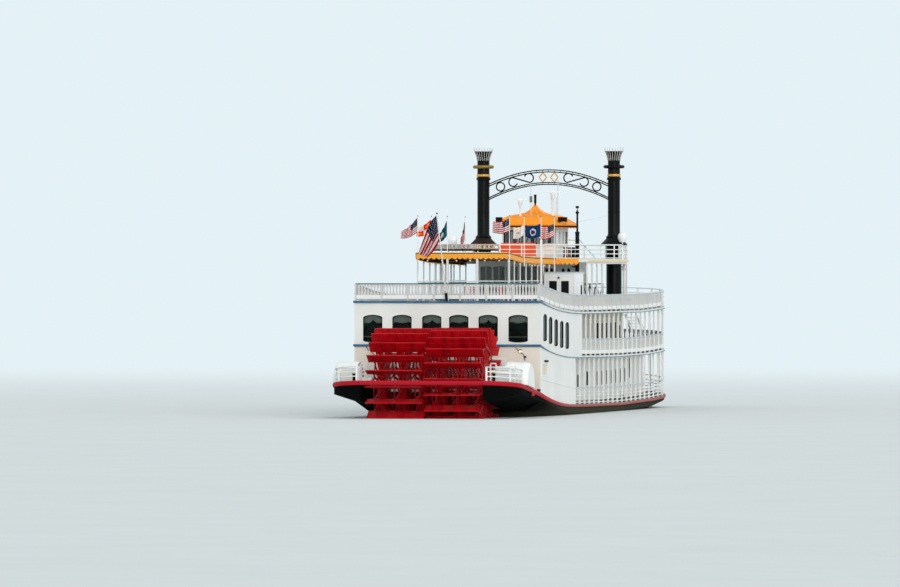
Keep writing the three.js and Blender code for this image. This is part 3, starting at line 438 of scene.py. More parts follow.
def bunting(name, ground, stripe=None, count=13, canton=None, canton_low=0.46, quarter=None, disc=None):
    """Flag cloth on its own UV map: plain, striped with a canton, quartered, or with a disc or ring."""
    material, tree, shader = new_material(name)
    uv = node(tree, "ShaderNodeUVMap", uv_map="cloth")
    split = node(tree, "ShaderNodeSeparateXYZ", {"Vector": uv.outputs["UV"]})
    along, up = split.outputs[0], split.outputs[1]
    sums = lambda kind, first, second: maths(tree, kind, first, second)
    vector = lambda kind, *sources: node(tree, "ShaderNodeVectorMath", dict(enumerate(sources)),
                                         operation=kind)
    colour = mix(tree, 0.0, ground, ground)
    if stripe:
        turn = sums("FRACT", sums("MULTIPLY", up, count / 2), 0.5)
        colour = mix(tree, sums("GREATER_THAN", turn, 0.5), ground, stripe)
    if canton:
        corner = sums("MULTIPLY", sums("LESS_THAN", along, 0.4), sums("GREATER_THAN", up, canton_low))
        spots = node(tree, "ShaderNodeTexVoronoi", {"Vector": uv.outputs["UV"], "Scale": 14, "Randomness": 0})
        spot = sums("LESS_THAN", spots.outputs["Distance"], 0.18)
        colour = mix(tree, corner, colour, mix(tree, spot, canton, (0.55, 0.55, 0.55)))
    if quarter:
        sides = sums("MULTIPLY", sums("SUBTRACT", along, 0.5), sums("SUBTRACT", up, 0.5))
        doubled = vector("MULTIPLY", uv.outputs["UV"], (2, 2, 0))
        corner_uv = vector("FRACTION", doubled.outputs[0])
        reach = vector("DISTANCE", corner_uv.outputs[0], (0.5, 0.5, 0)).outputs["Value"]
        painted = mix(tree, sums("LESS_THAN", reach, 0.27), quarter, (0.85, 0.3, 0.02))
        colour = mix(tree, sums("LESS_THAN", sides, 0), colour, painted)
    if disc:
        paint, inner, outer = disc
        place = vector("SUBTRACT", uv.outputs["UV"], (0.5, 0.5, 0))
        round_place = vector("MULTIPLY", place.outputs[0], (1.4, 1, 0))
        reach = vector("LENGTH", round_place.outputs[0]).outputs["Value"]
        inside = sums("MULTIPLY", sums("LESS_THAN", reach, outer), sums("GREATER_THAN", reach, inner))
        colour = mix(tree, inside, colour, paint)
    tree.links.new(colour, shader.inputs["Base Color"])
    weave = node(tree, "ShaderNodeTexWave", {"Vector": uv.outputs["UV"], "Scale": 60, "Distortion": 0.5})
    add_bump(tree, shader, weave.outputs["Fac"], 0.15, 0.001)
    set_gloss(shader, 0.9, 0.15)
    return material


WHITE = weathered_paint("ship_white", (0.8, 0.79, 0.76), (0.56, 0.5, 0.43), (0.4, 0.6), 0.16)
BRIGHT_WHITE = weathered_paint("rail_white", (0.84, 0.83, 0.8), (0.6, 0.56, 0.5), (0.4, 0.55), 0.14)
# Cream-tinted white for the stern wall: painted warm sunlight on the white paint.
SUNLIT_STERN_WHITE = weathered_paint("stern_wall_painted_sunlight", (0.8, 0.72, 0.63), (0.5, 0.4, 0.3), (0.45, 0.6), 0.3)
RAIL_CAP = weathered_paint("rail_cap_grey", (0.56, 0.62, 0.66), (0.4, 0.44, 0.46), (0.35, 0.5), 0.2)
BLUE = side_highlight_paint("trim_blue", (0.01, 0.1, 0.22), (0.11, 0.22, 0.24), (0.2, 0.3, 0.32))
TEAL = weathered_paint("rail_teal", (0.025, 0.12, 0.13), (0.08, 0.2, 0.2), (0.35, 0.5), 0.3)
BLACK = hull_paint("hull_black", (0.0022, 0.0028, 0.0026), (0.05, 0.048, 0.032))
RED = wheel_paint("wheel_red", (0.52, 0.0015, 0.007), (0.12, 0.0005, 0.002))
GUARD = guard_paint("guard_red", (0.43, 0.0015, 0.013), (0.36, 0.11, 0.095))
DECK = plank_paint("deck_grey", (0.2, 0.22, 0.22), (0.05, 0.05, 0.05))
YELLOW = weathered_paint("awning_yellow", (0.98, 0.38, 0.02), (0.7, 0.25, 0.03), (0.45, 0.65), 0.2)
ROOF_ORANGE = weathered_paint("roof_orange", (0.92, 0.29, 0.01), (0.75, 0.22, 0.02), (0.5, 0.65), 0.25,
                              specular=0.2)
SEAM = weathered_paint("roof_seam", (0.95, 0.42, 0.09), (0.75, 0.3, 0.05), (0.5, 0.65), 0.2, specular=0.2)
CREAM = weathered_paint("beam_cream", (0.8, 0.62, 0.36), (0.6, 0.42, 0.2), (0.45, 0.6), 0.3)
GLASS = window_glass("window_glass", (0.003, 0.012, 0.009), 0.3, 0.15)
SIDE_GLASS = window_glass("side_window_glass", (0.012, 0.022, 0.018), 0.8, 0.02)
GREEN_GLASS = window_glass("house_glass", (0.09, 0.14, 0.115), 0.85)
# Pale opaque glass: a painted reflection of the bright sky.
SKY_REFLECTION_GLASS = window_glass("pilothouse_glass_painted_sky", (0.56, 0.6, 0.6), 1)
# Darker, warmer cream for the second deck's house walls: painted shade of the promenade.
SHADED_CREAM = weathered_paint("promenade_painted_shade", (0.62, 0.56, 0.46), (0.45, 0.36, 0.26), (0.5, 0.65), 0.3)
# Greyer white for the balusters and the third deck's posts: painted shade between the balusters.
RAIL_SHADE = weathered_paint("baluster_painted_shade", (0.6, 0.59, 0.57), (0.42, 0.39, 0.35), (0.5, 0.65), 0.2)
# Near-black strip at the foot of the house walls: painted shadow.
SHADOW_GREY = weathered_paint("wall_foot_painted_shadow", (0.06, 0.065, 0.065), (0.03, 0.03, 0.028), (0.6, 0.8), 0.4)
CURTAIN = weathered_paint("curtain_green", (0.42, 0.52, 0.45), (0.3, 0.36, 0.3), (0.8, 0.9), 0.3)
# Near-black paint for iron fittings, rubber, handles and cables; also painted shade, as opaque panes and
# boards that stand for dark rooms, vents and recesses.
DARK = weathered_paint("black_and_painted_shade", (0.006, 0.008, 0.008), (0.014, 0.014, 0.012), (0.6, 0.8), 0.2,
                       specular=0.1)
STACK_BLACK = weathered_paint("stack_black", (0.0022, 0.0034, 0.0034), (0.008, 0.009, 0.007), (0.25, 0.4),
                              0.3, specular=0.12)
BROWN = weathered_paint("skirt_brown", (0.02, 0.01, 0.007), (0.05, 0.02, 0.012), (0.5, 0.7), 0.5,
                        specular=0.15)
GOLD = weathered_paint("gilding", (0.72, 0.38, 0.05), (0.45, 0.2, 0.03), (0.3, 0.45), 0.3, 0.2)
OLD_GOLD = weathered_paint("tarnished_gilding", (0.27, 0.17, 0.025), (0.12, 0.07, 0.01), (0.3, 0.5), 0.4, 0.3)
SILVER = weathered_paint("crown_silver", (0.66, 0.66, 0.65), (0.4, 0.4, 0.4), (0.3, 0.5), 0.3, 0.3)
SCREEN = weathered_paint("screen_grey", (0.5, 0.44, 0.4), (0.25, 0.2, 0.18), (0.6, 0.8), 0.5)
RUST = weathered_paint("drum_brown", (0.2, 0.06, 0.03), (0.07, 0.025, 0.015), (0.6, 0.8), 0.5)
ORANGE = weathered_paint("panel_orange", (0.86, 0.1, 0.025), (0.6, 0.08, 0.03), (0.5, 0.7), 0.2)
LENS = weathered_paint("lamp_lens", (0.14, 0.18, 0.12), (0.08, 0.1, 0.07), (0.3, 0.5), 0.2)
SEAT_RED = weathered_paint("seat_red", (0.5, 0.012, 0.03), (0.3, 0.01, 0.02), (0.4, 0.55), 0.2)
ENAMEL = weathered_paint("enamel_white", (0.84, 0.84, 0.84), (0.66, 0.66, 0.64), (0.2, 0.35), 0.1)
LAMP = lamp_glow("lamp_glow", (1, 0.78, 0.5), 0.6)
OLD_RED, OLD_WHITE, NAVY = (0.46, 0.006, 0.02), (0.72, 0.69, 0.67), (0.005, 0.009, 0.04)
STRIPES = bunting("bunting_stripes", OLD_RED, OLD_WHITE, 13, NAVY)
ENSIGN_STRIPES = bunting("ensign_stripes", OLD_RED, OLD_WHITE, 9, NAVY, 0.36)
FLAG_ORANGE = bunting("bunting_quartered", OLD_WHITE, quarter=(0.75, 0.02, 0.01))
FLAG_TEAL = bunting("bunting_teal", (0.006, 0.075, 0.11), disc=((0.6, 0.66, 0.66), 0, 0.2))
FLAG_WHITE = bunting("bunting_white", (0.75, 0.74, 0.72), disc=((0.5, 0.25, 0.2), 0, 0.12))
FLAG_BLUE = bunting("bunting_blue", (0.006, 0.035, 0.13), disc=((0.6, 0.62, 0.66), 0.17, 0.29))


# Mesh helpers. Every function adds to a bmesh in the ship's own full-size metres.
def box(bm, corner, opposite, material=0):
    """A block between two opposite corners, given in any order."""
    low = Vector([min(pair) for pair in zip(corner, opposite)])
    high = Vector([max(pair) for pair in zip(corner, opposite)])
    size = high - low
    centre = (high + low) / 2
    matrix = Matrix.Translation(centre) @ Matrix.Diagonal((*size, 1))
    made = bmesh.ops.create_cube(bm, size=1, matrix=matrix)["verts"]
    paint_faces(made, material)
    return made


def paint_faces(verts, material):
    for face in {face for vert in verts for face in vert.link_faces}:
        face.material_index = material


def arc_points(centre, radius, steps, turn=math.tau):
    """Points round an arc, with both its ends."""
    angles = [turn * k / steps for k in range(steps + 1)]
    return [(centre[0] + radius * math.cos(a), centre[1] + radius * math.sin(a)) for a in angles]


def rod(bm, start, end, radius, sides, end_radius=None, material=0):
    start, end = Vector(start), Vector(end)
    turn = (end - start).to_track_quat("Z", "Y").to_matrix().to_4x4()
    matrix = Matrix.Translation((start + end) / 2) @ turn
    end_radius = radius if end_radius is None else end_radius
    made = bmesh.ops.create_cone(bm, cap_ends=True, segments=sides, radius1=radius, radius2=end_radius,
                                 depth=(end - start).length, matrix=matrix)["verts"]
    paint_faces(made, material)
    return made


def ball(bm, centre, radius, material, segments, rings):
    made = bmesh.ops.create_uvsphere(
        bm, u_segments=segments, v_segments=rings, radius=radius, matrix=Matrix.Translation(centre))["verts"]
    paint_faces(made, material)
    return made


def turned(bm, profile, centre, sides, material=0):
    """A turned piece about an upright axis. The profile lists radius and height."""
    old_verts, old_faces = set(bm.verts), set(bm.faces)
    verts = [bm.verts.new((centre[0] + radius, centre[1], z)) for radius, z in profile]
    edges = [bm.edges.new(pair) for pair in zip(verts, verts[1:])]
    bmesh.ops.spin(bm, geom=verts + edges, cent=(*centre, 0), axis=(0, 0, 1), angle=math.tau, steps=sides,
                   use_merge=True)
    bmesh.ops.remove_doubles(bm, verts=[vert for vert in bm.verts if vert not in old_verts], dist=1e-5)
    for face in bm.faces:
        if face not in old_faces:
            face.material_index = material


def ring_of(bm, points):
    verts = [bm.verts.new(point) for point in points]
    return [bm.edges.new((a, b)) for a, b in zip(verts, verts[1:] + verts[:1])]


def loft(bm, rings, material=0):
    """A closed body bridged through rings of points, with flat ends."""
    loops = [ring_of(bm, ring) for ring in rings]
    made = []
    for first, second in zip(loops, loops[1:]):
        made += bmesh.ops.bridge_loops(bm, edges=first + second)["faces"]
    for loop in (loops[0], loops[-1]):
        made += bmesh.ops.contextual_create(bm, geom=loop)["faces"]
    for face in made:
        face.material_index = material
    return made


def tube(bm, points, radius, material=0, closed=False, sides=6):
    """A round bar along a line of points."""
    points = [Vector(point) for point in points]
    count = len(points)
    rings = []
    for i, point in enumerate(points):
        before = points[(i - 1) % count] if closed or i else point
        after = points[(i + 1) % count] if closed or i < count - 1 else point
        turn = (after - before).to_track_quat("Z", "X").to_matrix().to_4x4()
        matrix = Matrix.Translation(point) @ turn
        rings.append([matrix @ Vector((*place, 0)) for place in arc_points((0, 0), radius, sides)[:-1]])
    if closed:
        loops = [ring_of(bm, ring) for ring in rings]
        for first, second in zip(loops, loops[1:] + loops[:1]):
            for face in bmesh.ops.bridge_loops(bm, edges=first + second)["faces"]:
                face.material_index = material
        return
    loft(bm, rings, material)


def plate(bm, outline, push, material=0):
    """A flat outline pushed out to a plate."""
    face = bm.faces.new([bm.verts.new(point) for point in outline])
    made = bmesh.ops.extrude_face_region(bm, geom=[face])["geom"]
    moved = [item for item in made if isinstance(item, bmesh.types.BMVert)]
    bmesh.ops.translate(bm, verts=moved, vec=push)
    paint_faces(moved, material)
    face.material_index = material


def stamp(bm, mesh, matrix):
    """Adds a copy of a small mesh at a place."""
    mesh.transform(matrix)
    bm.from_mesh(mesh)
    mesh.transform(matrix.inverted())


def small_mesh(build):
    """A mesh to stamp, made by a function that fills a bmesh."""
    bm = bmesh.new()
    build(bm)
    bmesh.ops.recalc_face_normals(bm, faces=bm.faces)
    mesh = bpy.data.meshes.new("template")
    bm.to_mesh(mesh)
    bm.free()
    return mesh


def finished(bm, name, materials, body="ship", replaces=(), smooth=35, recalc=True):
    """Turns a bmesh into a piece that rides on a body."""
    if recalc:
        bmesh.ops.recalc_face_normals(bm, faces=bm.faces)
    bmesh.ops.transform(bm, matrix=SHIP, verts=bm.verts)
    mesh = bpy.data.meshes.new(name)
    bm.to_mesh(mesh)
    bm.free()
    for material in materials:
        mesh.materials.append(material)
    if smooth:
        mesh.shade_smooth()
        mesh.set_sharp_from_angle(angle=math.radians(smooth))
    piece = bpy.data.objects.new(name, mesh)
    bpy.context.scene.collection.objects.link(piece)
    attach(piece, body)
    if replaces:
        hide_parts(*replaces)
    return piece


# Deck heights and the bow's curve
def between(table, column, x):
    """A value from a table's column, along straight lines between its rows."""
    low, high = table[0], table[1]
    for row in table[1:]:
        high = row
        if row[0] >= x:
            break
        low = row
    share = (x - low[0]) / (high[0] - low[0])
    return low[column] + share * (high[column] - low[column])


def deck_at(level, x):
    return between(SHEER, level, x)


def floor_at(level, x):
    return deck_at(level, x) + (0 if level == MAIN else DECK_HALF)


def ceiling_at(level, x):
    return deck_at(level, x) - DECK_HALF


def sheer_places(start, end, most=2.0):
    """Places along x that follow every bend of the sheer, no further apart than most."""
    marks = [start] + [row[0] for row in SHEER if start < row[0] < end] + [end]
    places = [start]
    for a, b in zip(marks, marks[1:]):
        count = max(1, math.ceil((b - a) / most))
        places += [a + (b - a) * k / count for k in range(1, count + 1)]
    return places


def bow_curve(inset=0.0, steps=24):
    """Points from the bow's start to the stem, on the port side."""
    half = HALF_BEAM - inset
    last = math.asin(STEM_HALF / half)
    angles = [math.pi / 2 + (last - math.pi / 2) * k / steps for k in range(steps + 1)]
    return [(BOW_START + (BOW_LENGTH - inset) * math.cos(a), half * math.sin(a)) for a in angles]


def stern_corner():
    """Points round the port stern corner, from the wheel well to the side."""
    points = [(STERN + STERN_CORNER * (1 - math.cos(a)), HALF_BEAM - STERN_CORNER * (1 - math.sin(a)))
              for a in (math.pi / 2 * k / 12 for k in range(13))]
    return [point for point in points if point[1] > WELL_HALF]


def deck_half(x):
    return HALF_BEAM if x <= BOW_START else between(bow_curve(), 1, min(x, bow_curve()[-1][0]))


# Places on walls, from a distance along the wall, a height and how far they stand out
def stern_wall(u, z, out):
    return (-out, u, z)


def cross_wall(x, facing):
    """A wall across the ship at a place along it, facing forward or aft."""
    return lambda u, z, out: (x + facing * out, u, z)


def long_wall(y):
    """A wall along the ship, facing away from the centre plane."""
    return lambda u, z, out: (u, y + out * math.copysign(1, y), z)


def window_outline(centre, half, low, high, crown=0.0, foot=0.0, corner=0.0, steps=12):
    """An upright outline with a curved head and sill and rounded corners, as across and height."""
    turns = [math.sin(math.pi * (k / steps - 0.5)) for k in range(steps + 1)]
    soften = lambda t: corner * (1 - math.sqrt(max(0.0, 1 - abs(t) ** 8)))
    head = [(centre + half * t, high - crown * t * t - soften(t)) for t in turns]
    sill = [(centre + half * t, low + foot * t * t + soften(t)) for t in turns]
    return head + sill[::-1]


def rectangle(left, low, right, high):
    """A plain outline, as across and height."""
    return [(left, low), (right, low), (right, high), (left, high)]


def frame_ring(bm, at, outer, inner, back, front, material=0):
    """A flat frame between two outlines on a wall."""
    loops = [ring_of(bm, [at(u, z, front) for u, z in outline]) for outline in (outer, inner)]
    faces = bmesh.ops.bridge_loops(bm, edges=loops[0] + loops[1])["faces"]
    made = bmesh.ops.extrude_face_region(bm, geom=faces)["geom"]
    moved = [item for item in made if isinstance(item, bmesh.types.BMVert)]
    bmesh.ops.translate(bm, verts=moved, vec=Vector(at(0, 0, back)) - Vector(at(0, 0, front)))
    paint_faces(moved, material)
    for face in faces:
        face.material_index = material


def pane(bm, at, outline, back, front, material):
    push = Vector(at(0, 0, back)) - Vector(at(0, 0, front))
    plate(bm, [at(u, z, front) for u, z in outline], push, material)


def wall_box(bm, at, across, height, back, front, material=0):
    """A plain block on a wall, such as a bar, sill or panel."""
    box(bm, at(across[0], height[0], back), at(across[1], height[1], front), material)


def set_window(bm, at, centre, half, low, high, crown=0.0, frame=0.07, corner=0.02, bars=0, pane_paint=1):
    """A window set on a wall: a proud frame round a dark pane, with upright glazing bars."""
    outer = window_outline(centre, half + frame, low - frame, high + frame, crown, 0, corner)
    inner = window_outline(centre, half, low, high, crown, 0, corner)
    frame_ring(bm, at, outer, inner, -0.01, 0.035)
    pane(bm, at, window_outline(centre, half + 0.01, low - 0.01, high + 0.01, crown, 0, corner), -0.01, 0.012,
         pane_paint)
    for k in range(bars):
        u = centre - half + 2 * half * (k + 1) / (bars + 1)
        wall_box(bm, at, (u - 0.02, u + 0.02), (low, high - crown), 0, 0.03)
    reach = half + frame + 0.03
    wall_box(bm, at, (centre - reach, centre + reach), (low - frame - 0.05, low - frame), -0.01, 0.07)


def make_camera():
    forward = Vector((math.cos(CAMERA_YAW), math.sin(CAMERA_YAW), 0))
    right = Vector((math.sin(CAMERA_YAW), -math.cos(CAMERA_YAW), 0))
    up = Vector((0, 0, 1))
    across = (PHOTO_WIDTH / 2 - SIGHT_PX[0]) / FOCAL_PIXELS
    down = (PHOTO_HEIGHT / 2 - SIGHT_PX[1]) / FOCAL_PIXELS
    sight = (forward + right * across - up * down).normalized()
    place = SHIP @ (forward * -CAMERA_DISTANCE + up * CAMERA_HEIGHT)
    data = bpy.data.cameras.new("camera")
    data.sensor_width = SENSOR
    data.lens = FOCAL_PIXELS * SENSOR / PHOTO_WIDTH
    data.clip_start = 10
    data.clip_end = 5000
    camera = bpy.data.objects.new("camera", data)
    bpy.context.scene.collection.objects.link(camera)
    camera.matrix_world = Matrix.Translation(place) @ sight.to_track_quat("-Z", "Y").to_matrix().to_4x4()
    bpy.context.scene.camera = camera


def make_stage():
    material, tree, shader = new_material("floor_pale")
    grain = noise(tree, 0.4, 4)
    tree.links.new(mix(tree, grain, (0.6, 0.6, 0.59), (0.66, 0.66, 0.65)),
                   shader.inputs["Base Color"])
    set_gloss(shader, 0.9)
    # Far from the ship the floor takes the backdrop's colour, so no edge shows
    sight = (math.cos(CAMERA_YAW), math.sin(CAMERA_YAW), 0)
    away = node(tree, "ShaderNodeVectorMath", {0: object_place(tree), 1: sight}, operation="DOT_PRODUCT")
    far = ranged(tree, away.outputs["Value"], 20, 150, interpolation_type="SMOOTHSTEP")
    glow = node(tree, "ShaderNodeEmission", {"Color": (*BACKDROP, 1), "Strength": 1})
    blend = node(tree, "ShaderNodeMixShader", {0: far, 1: shader.outputs[0], 2: glow.outputs[0]})
    tree.links.new(blend.outputs[0], tree.nodes["Material Output"].inputs["Surface"])
    bm = bmesh.new()
    bmesh.ops.create_grid(bm, x_segments=1, y_segments=1, size=1500,
                          matrix=Matrix.Translation((0, 0, DRAUGHT * SCALE)))
    mesh = bpy.data.meshes.new("floor")
    bm.to_mesh(mesh)
    bm.free()
    mesh.materials.append(material)
    floor = bpy.data.objects.new("floor", mesh)
    bpy.context.scene.collection.objects.link(floor)
    floor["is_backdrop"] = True

    world = bpy.data.worlds.new("studio")
    bpy.context.scene.world = world
    world.use_nodes = True
    world.node_tree.nodes["Background"].inputs["Color"].default_value = (*BACKDROP, 1)
    world.node_tree.nodes["Background"].inputs["Strength"].default_value = 1
    for name, energy, colour, toward, size in (
            ("key", 0.6, (1, 0.93, 0.84), (0.75, 0.36, -0.55), 20),
            ("low", 0.8, (1, 0.95, 0.9), (0.93, 0.34, -0.1), 30),
            ("fill", 0.5, (0.95, 0.97, 1), (0.3, 0.8, -0.5), 50)):
        data = bpy.data.lights.new(name, "SUN")
        data.energy = energy
        data.color = colour
        data.angle = math.radians(size)
        light = bpy.data.objects.new(name, data)
        light.matrix_world = Vector(toward).to_track_quat("-Z", "Y").to_matrix().to_4x4()
        bpy.context.scene.collection.objects.link(light)
    bpy.context.scene.view_settings.view_transform = "Standard"


def make_hull():
    """The hull's plating, and the planks of the fantail on both sides of the wheel."""
    bm = bmesh.new()
    rings = []
    for x in sheer_places(0, BOW_START) + [x for x, _ in bow_curve()[1:]]:
        edge, water, bilge, bottom, low = (between(HULL_STATIONS, column, x) for column in range(1, 6))
        half = deck_half(x)
        side = [(half, deck_at(MAIN, x)), (half, edge), (min(water, half), 0),
                (min(bilge, half), min(low + BILGE_RISE, -0.05)), (min(bottom, half), low)]
        rings.append([(x, y, z) for y, z in side + [(-y, z) for y, z in reversed(side)]])
    loft(bm, rings)
    box(bm, *CAPSTAN_BED)
    for sign in SIDES.values():
        rod(bm, (RUDDER_X, sign * RUDDER_Y, -0.95), (RUDDER_X, sign * RUDDER_Y, 0), 0.24, 20)
    paint_up(bm, 1, above=0)
    finished(bm, "hull_shell", [BLACK, DECK], replaces=["hull"])
    for side, sign in SIDES.items():
        bm = bmesh.new()
        rings = []
        for x, y in [(STERN, WELL_HALF + 0.02)] + stern_corner() + [(-3, HALF_BEAM), (-0.01, HALF_BEAM)]:
            z = deck_at(MAIN, x)
            rings.append([(x, sign * WELL_HALF, z + 0.012), (x, sign * y, z + 0.012),
                          (x, sign * y, z + 0.002), (x, sign * WELL_HALF, z + 0.002)])
        loft(bm, rings)
        finished(bm, f"fantail_planks_{side}", [DECK], smooth=None)


def paint_up(bm, material, above=-100):
    """Gives a material to every face that looks up, higher than a level."""
    bmesh.ops.recalc_face_normals(bm, faces=bm.faces)
    bm.normal_update()
    for face in bm.faces:
        if face.normal.z > 0.9 and face.calc_center_median().z > above:
            face.material_index = material


def strip(bm, path, section, material=0):
    """A moulding along a path in plan. Its section lists outward and upward offsets, or gives them for x."""
    rings = []
    for i, (x, y, z) in enumerate(path):
        here = Vector((x, y))
        legs = []
        if i:
            legs.append((here - Vector(path[i - 1][:2])).normalized())
        if i < len(path) - 1:
            legs.append((Vector(path[i + 1][:2]) - here).normalized())
        along = sum(legs, Vector((0, 0))).normalized()
        stretch = 1 / along.dot(legs[0])
        offsets = section(x) if callable(section) else section
        rings.append([(x - along.y * out * stretch, y + along.x * out * stretch, z + up)
                      for out, up in offsets])
    loft(bm, rings, material)


def deck_edge(start):
    """The deck's edge on the port side, from a place along the side to the stem."""
    return [(x, HALF_BEAM) for x in sheer_places(start, BOW_START)] + bow_curve()[1:]


def guard_section(x):
    """The guard's rounded section as outward and upward offsets. It gets shallower forward."""
    share = min(max(x / GUARD_TAPER, 0), 1)
    depth = GUARD_DEPTH_AFT + (GUARD_DEPTH_FORE - GUARD_DEPTH_AFT) * share
    angles = [math.radians(d) for d in range(80, -81, -20)]
    face = [(GUARD_WIDTH * (0.4 + 0.6 * math.cos(a)), depth / 2 * (math.sin(a) - 1)) for a in angles]
    return [(0.001, 0)] + face + [(0.001, -depth)]


def make_guards():
    for side, sign in SIDES.items():
        bm = bmesh.new()
        plan = [(STERN, WELL_HALF)] + stern_corner()[:-1] + deck_edge(STERN + STERN_CORNER)
        plan.append((plan[-1][0], 0.001))
        path = [(x, sign * y, deck_at(MAIN, x)) for x, y in plan]
        strip(bm, path, lambda x: [(sign * out, up) for out, up in guard_section(x)])
        box(bm, (-2.9, sign * 5.96, 1.4), (-2.1, sign * 6.12, 1.7))
        finished(bm, f"guard_timber_{side}", [GUARD], replaces=[f"guard_{side}"])
    bm = bmesh.new()
    top = deck_at(MAIN, STERN)
    face = [(STERN - out, top + up) for out, up in guard_section(STERN)]
    face += [(STERN + STERN_BEAM_FORE, top - GUARD_DEPTH_AFT), (STERN + STERN_BEAM_FORE, top)]
    end = WELL_HALF - 0.001
    loft(bm, [[(x, end * t, z) for x, z in face] for t in (-1, -0.5, 0, 0.5, 1)])
    finished(bm, "stern_timber", [GUARD], replaces=["stern_beam"])


def edge_section(x):
    """The blue moulding on a deck's edge, full depth at the stern and slimmer along the side."""
    top = 0.07 - 0.09 * min(max(x / 3, 0), 1)
    return [(-0.02, top), (0.02, top), (0.04, top - 0.03), (0.04, -0.05), (0.02, -0.07), (-0.02, -0.07)]


def make_decks():
    """The second and third decks, with the moulding on their edges."""
    for name, level in (("second_deck", SECOND), ("third_deck", THIRD)):
        bm = bmesh.new()
        rings = []
        for x in sheer_places(-DECK_OVERHANG, BOW_START) + [x for x, _ in bow_curve()[1:]]:
            half, z = deck_half(x) - 0.02, deck_at(level, x)
            rings.append([(x, half, z + DECK_HALF), (x, -half, z + DECK_HALF),
                          (x, -half, z - DECK_HALF), (x, half, z - DECK_HALF)])
        loft(bm, rings)
        paint_up(bm, 1)
        finished(bm, f"{name}_planks", [WHITE, DECK], replaces=[name], smooth=None)
        bm = bmesh.new()
        path = [(-DECK_OVERHANG, 0), (-DECK_OVERHANG, HALF_BEAM)] + deck_edge(0.02)
        port = [(x, y, deck_at(level, x)) for x, y in path]
        strip(bm, port, edge_section)
        strip(bm, [(x, -y, z) for x, y, z in port], lambda x: [(-out, up) for out, up in edge_section(x)])
        finished(bm, f"{name}_blue_edge", [BLUE])


def baluster_mesh():
    """A flat sawn baluster, one metre high, to be scaled to its place."""
    def build(bm):
        half_widths = ((0.076, 0), (0.078, 0.12), (0.06, 0.34), (0.046, 0.52), (0.056, 0.66), (0.084, 0.84),
                       (0.086, 1))
        thick = 0.014
        rings = [[(half, -thick, z), (half, thick, z), (-half, thick, z), (-half, -thick, z)]
                 for half, z in half_widths]
        # The balusters take material 2, the painted shade of the railings.
        loft(bm, rings, 2)
    return small_mesh(build)


BALUSTER = baluster_mesh()


def spaced(points, pitch):
    """Places at an even pitch along a line of points, each with the direction there."""
    lengths = [(Vector(b) - Vector(a)).length for a, b in zip(points, points[1:])]
    total = sum(lengths)
    count = max(1, round(total / pitch))
    found, walked, leg = [], 0.0, 0
    for k in range(count + 1):
        target = total * k / count
        while leg < len(lengths) - 1 and walked + lengths[leg] < target:
            walked += lengths[leg]
            leg += 1
        a, b = Vector(points[leg]), Vector(points[leg + 1])
        share = (target - walked) / lengths[leg]
        found.append((a.lerp(b, share), (b - a).normalized()))
    return found


def railing(name, path, level, height, ceiling, replaces, balusters=True, bars=(), cap=None):
    """Posts, handrail, and a board with sawn balusters, or bars, along a path in plan."""
    foot = lambda x: floor_at(level, x)
    raised = lambda z: [(x, y, foot(x) + z) for x, y in path]
    bm = bmesh.new()
    strip(bm, raised(height), [(-0.055, -0.06), (0.055, -0.06), (0.06, -0.02), (0.03, 0), (-0.03, 0),
                               (-0.06, -0.02)], 1)
    bar = [(-0.022, -0.03), (0.022, -0.03), (0.022, 0.03), (-0.022, 0.03)]
    flat = [(x, y, 0) for x, y in path]
    if balusters:
        strip(bm, raised(0.24), [(-0.02, -0.12), (0.02, -0.12), (0.02, 0.12), (-0.02, 0.12)])
        for place, along in spaced(flat, BALUSTER_PITCH):
            angle = math.atan2(along.y, along.x)
            matrix = (Matrix.Translation((place.x, place.y, foot(place.x) + 0.355))
                      @ Matrix.Rotation(angle, 4, "Z") @ Matrix.Diagonal((1, 1, height - 0.41, 1)))
            stamp(bm, BALUSTER, matrix)
    for z in bars:
        strip(bm, raised(z), bar)
    for place, along in spaced(flat, POST_PITCH):
        top = ceiling_at(ceiling, place.x) if ceiling else foot(place.x) + height - 0.02
        # Posts of a balustrade without a ceiling take the painted shade too.
        post(bm, place, 0.055, foot(place.x), top, 2 if balusters and not ceiling else 0)
        if ceiling:
            for turn in (1, -1):
                bracket(bm, place, along * turn, top)
            post(bm, place, 0.075, top - 0.4, top - 0.34)
    return finished(bm, name, [BRIGHT_WHITE, cap or RAIL_CAP, RAIL_SHADE], replaces=replaces)


def post(bm, place, half, low, high, material=0):
    """A square post, or a block on one, about a place in plan."""
    box(bm, (place.x - half, place.y - half, low), (place.x + half, place.y + half, high), material)


def bracket(bm, place, along, top, reach=0.34, steps=4):
    """A curved timber bracket between a post and the beam above it."""
    side = Vector((-along.y, along.x, 0)) * 0.02
    corner = Vector((place.x, place.y, top))
    curve = [corner + along * reach * (1 - math.sin(a)) + Vector((0, 0, -reach * (1 - math.cos(a))))
             for a in (math.pi / 2 * k / steps for k in range(steps + 1))]
    plate(bm, [point - side for point in [corner] + curve], side * 2)


